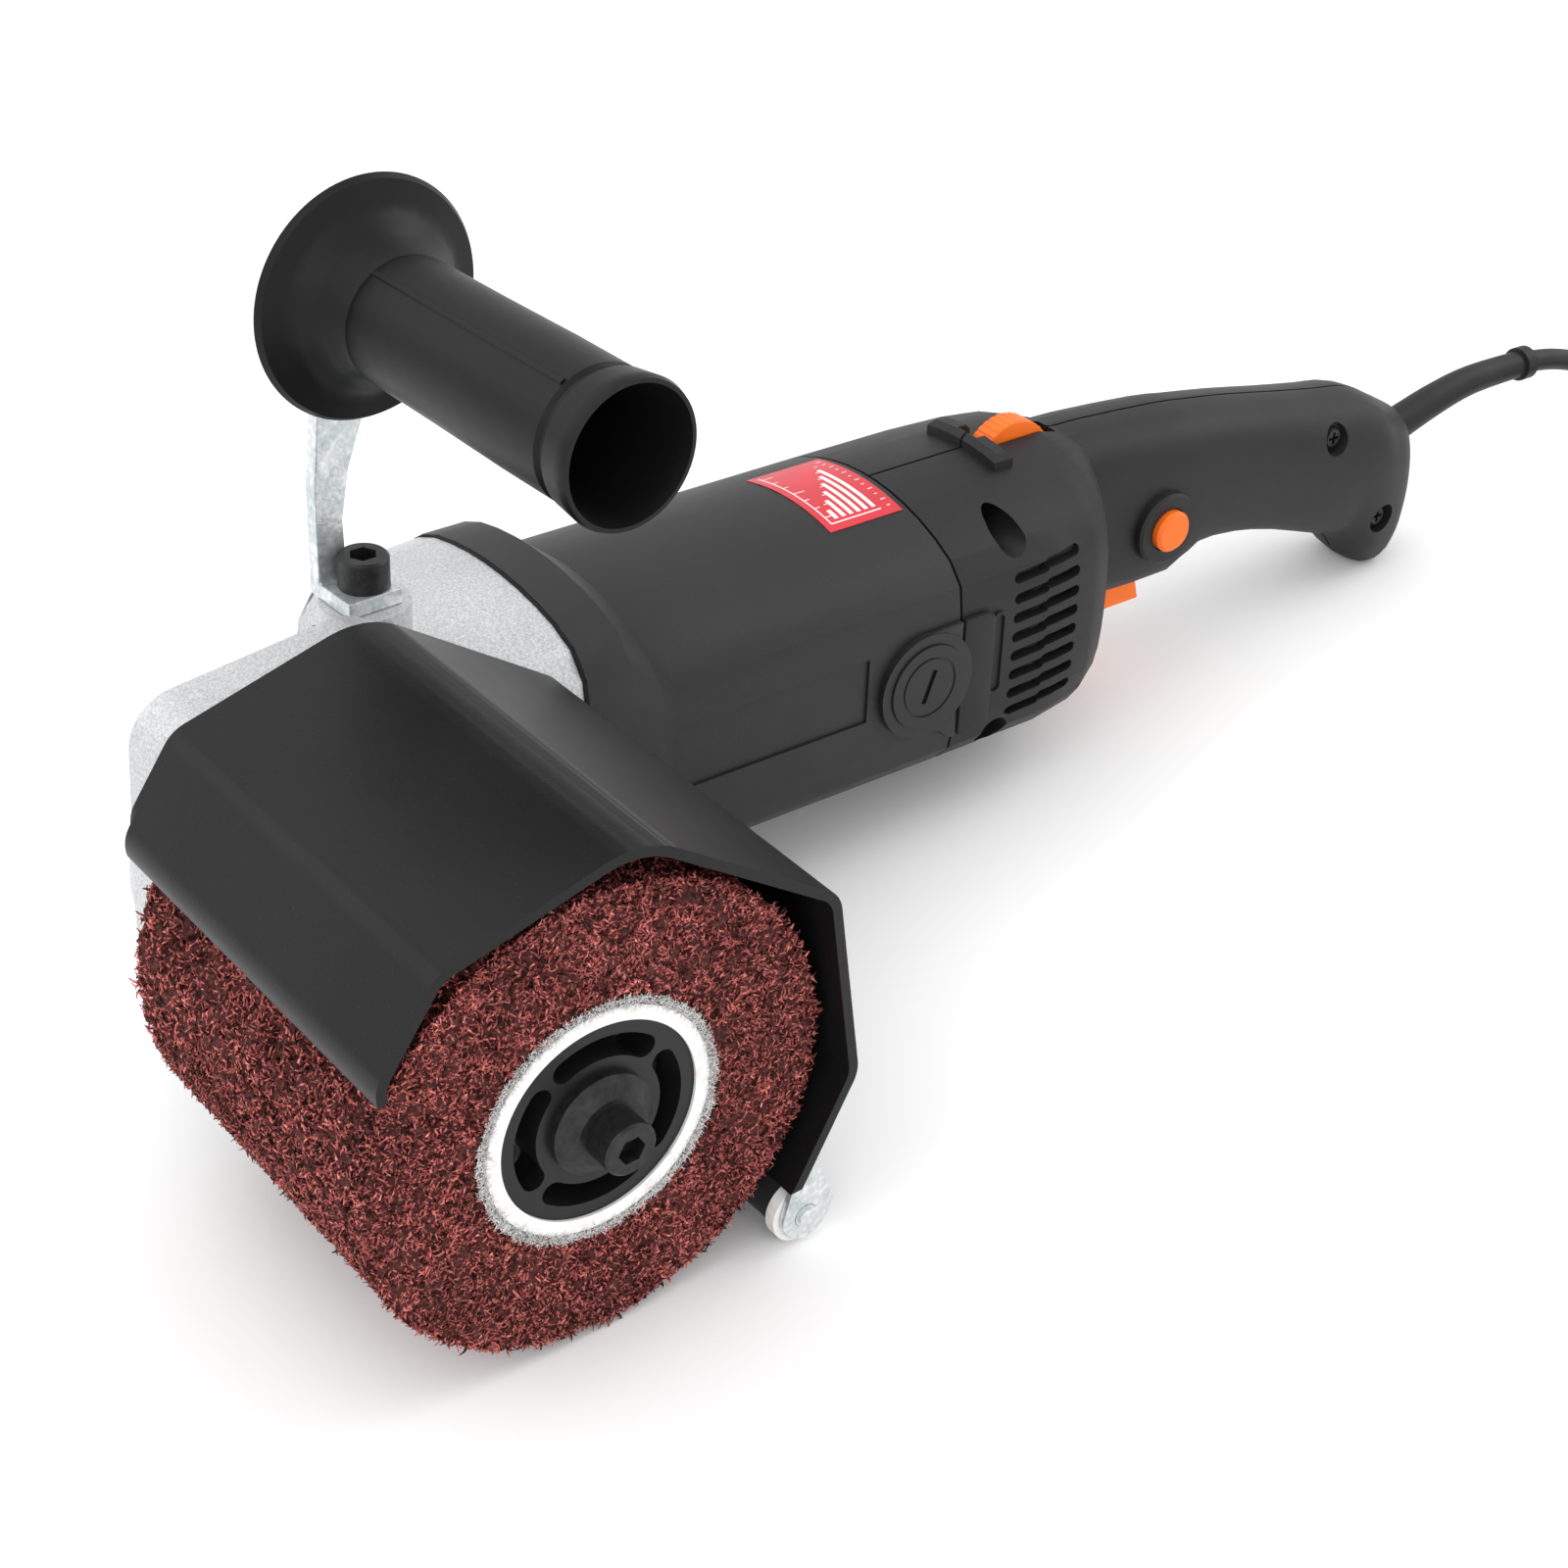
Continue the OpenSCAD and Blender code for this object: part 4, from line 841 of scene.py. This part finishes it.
def make_label():
    """A red label with a plain white speed chart: axes, ticks, bars and one stepped curve, no lettering."""
    bm = bmesh.new()
    dome_patch(bm, 160, 184.3, 128.5, 165.6, 0.02, 0.16)
    white = 1
    lift, t = 0.17, 0.05
    dome_patch(bm, 162.2, 162.6, 131, 163.5, lift, t, white)
    dome_patch(bm, 162.2, 179, 131, 131.4, lift, t, white)
    for i in range(7):
        dome_patch(bm, 162.2, 164.2 if i % 3 else 166, 134 + 4.6 * i, 134.3 + 4.6 * i, lift, t, white)
    for i in range(6):
        x = 164.6 + 2.5 * i
        dome_patch(bm, x, x + 1.3, 132.6, 136.5 + 4.1 * i, lift, t, white)
        dome_patch(bm, x + 1.3, x + 2.5, 139 + 4.1 * i, 139.3 + 4.1 * i, lift, t, white)
    for i in range(12):
        dome_patch(bm, 181.4, 183 if i % 2 else 182.4, 131.5 + 2.8 * i, 131.8 + 2.8 * i, lift, t, white)
    o = new_object("speed_label", bm, M["red"])
    o.data.materials.append(M["print"])


def make_handle_seam():
    """The moulding seam along the side handle: a fine raised rib."""
    path = [(15.3, 19), (15.6, 45), (16, 70), (16, 88)]
    section = ((-0.3, -0.07), (0.5, -0.035), (0.5, 0.035), (-0.3, 0.07))
    turn = math.radians(2.7)
    c, s = math.cos(turn), math.sin(turn)
    post_x, post_y = 22, 131
    foot_x, foot_y, foot_z = 27.6, 137.2, 132.5
    def at(r, a, u):
        x, y = foot_x + r * math.cos(a) - post_x, foot_y - u - post_y
        return in_tool(post_x + x * c - y * s, post_y + x * s + y * c, foot_z + r * math.sin(a))
    bm = bmesh.new()
    for angle in (120, 300):
        a = math.radians(angle)
        rows = [[bm.verts.new(at(r + up, a + da, u)) for up, da in section] for r, u in path]
        bm.faces.new(rows[0])
        bm.faces.new(rows[-1][::-1])
        for p, q in zip(rows, rows[1:]):
            for k in range(4):
                bm.faces.new((p[k], q[k], q[(k + 1) % 4], p[(k + 1) % 4]))
    bmesh.ops.recalc_face_normals(bm, faces=bm.faces)
    new_object("handle_seam", bm, M["side_handle"], "side_handle")


def make_vent_shade_sheet(side):
    """A dark sheet close behind the cooling slots of one shell: painted shade that makes the slots look dark
    inside.
    """
    bm = bmesh.new()
    outline = [(205, 25), (233, 25), (233, -19), (205, -19)]
    prism(bm, outline, in_tool, MOTOR_Y + side * 36.4, MOTOR_Y + side * 37.2)
    new_object("vent_shade_sheet_" + SIDES[side], bm, M["carbon"])


for which in SIDES:
    make_vent_shade_sheet(which)
    make_boss_plates(which)
    make_bell_oval(which)
make_gasket()
make_label()
make_handle_seam()
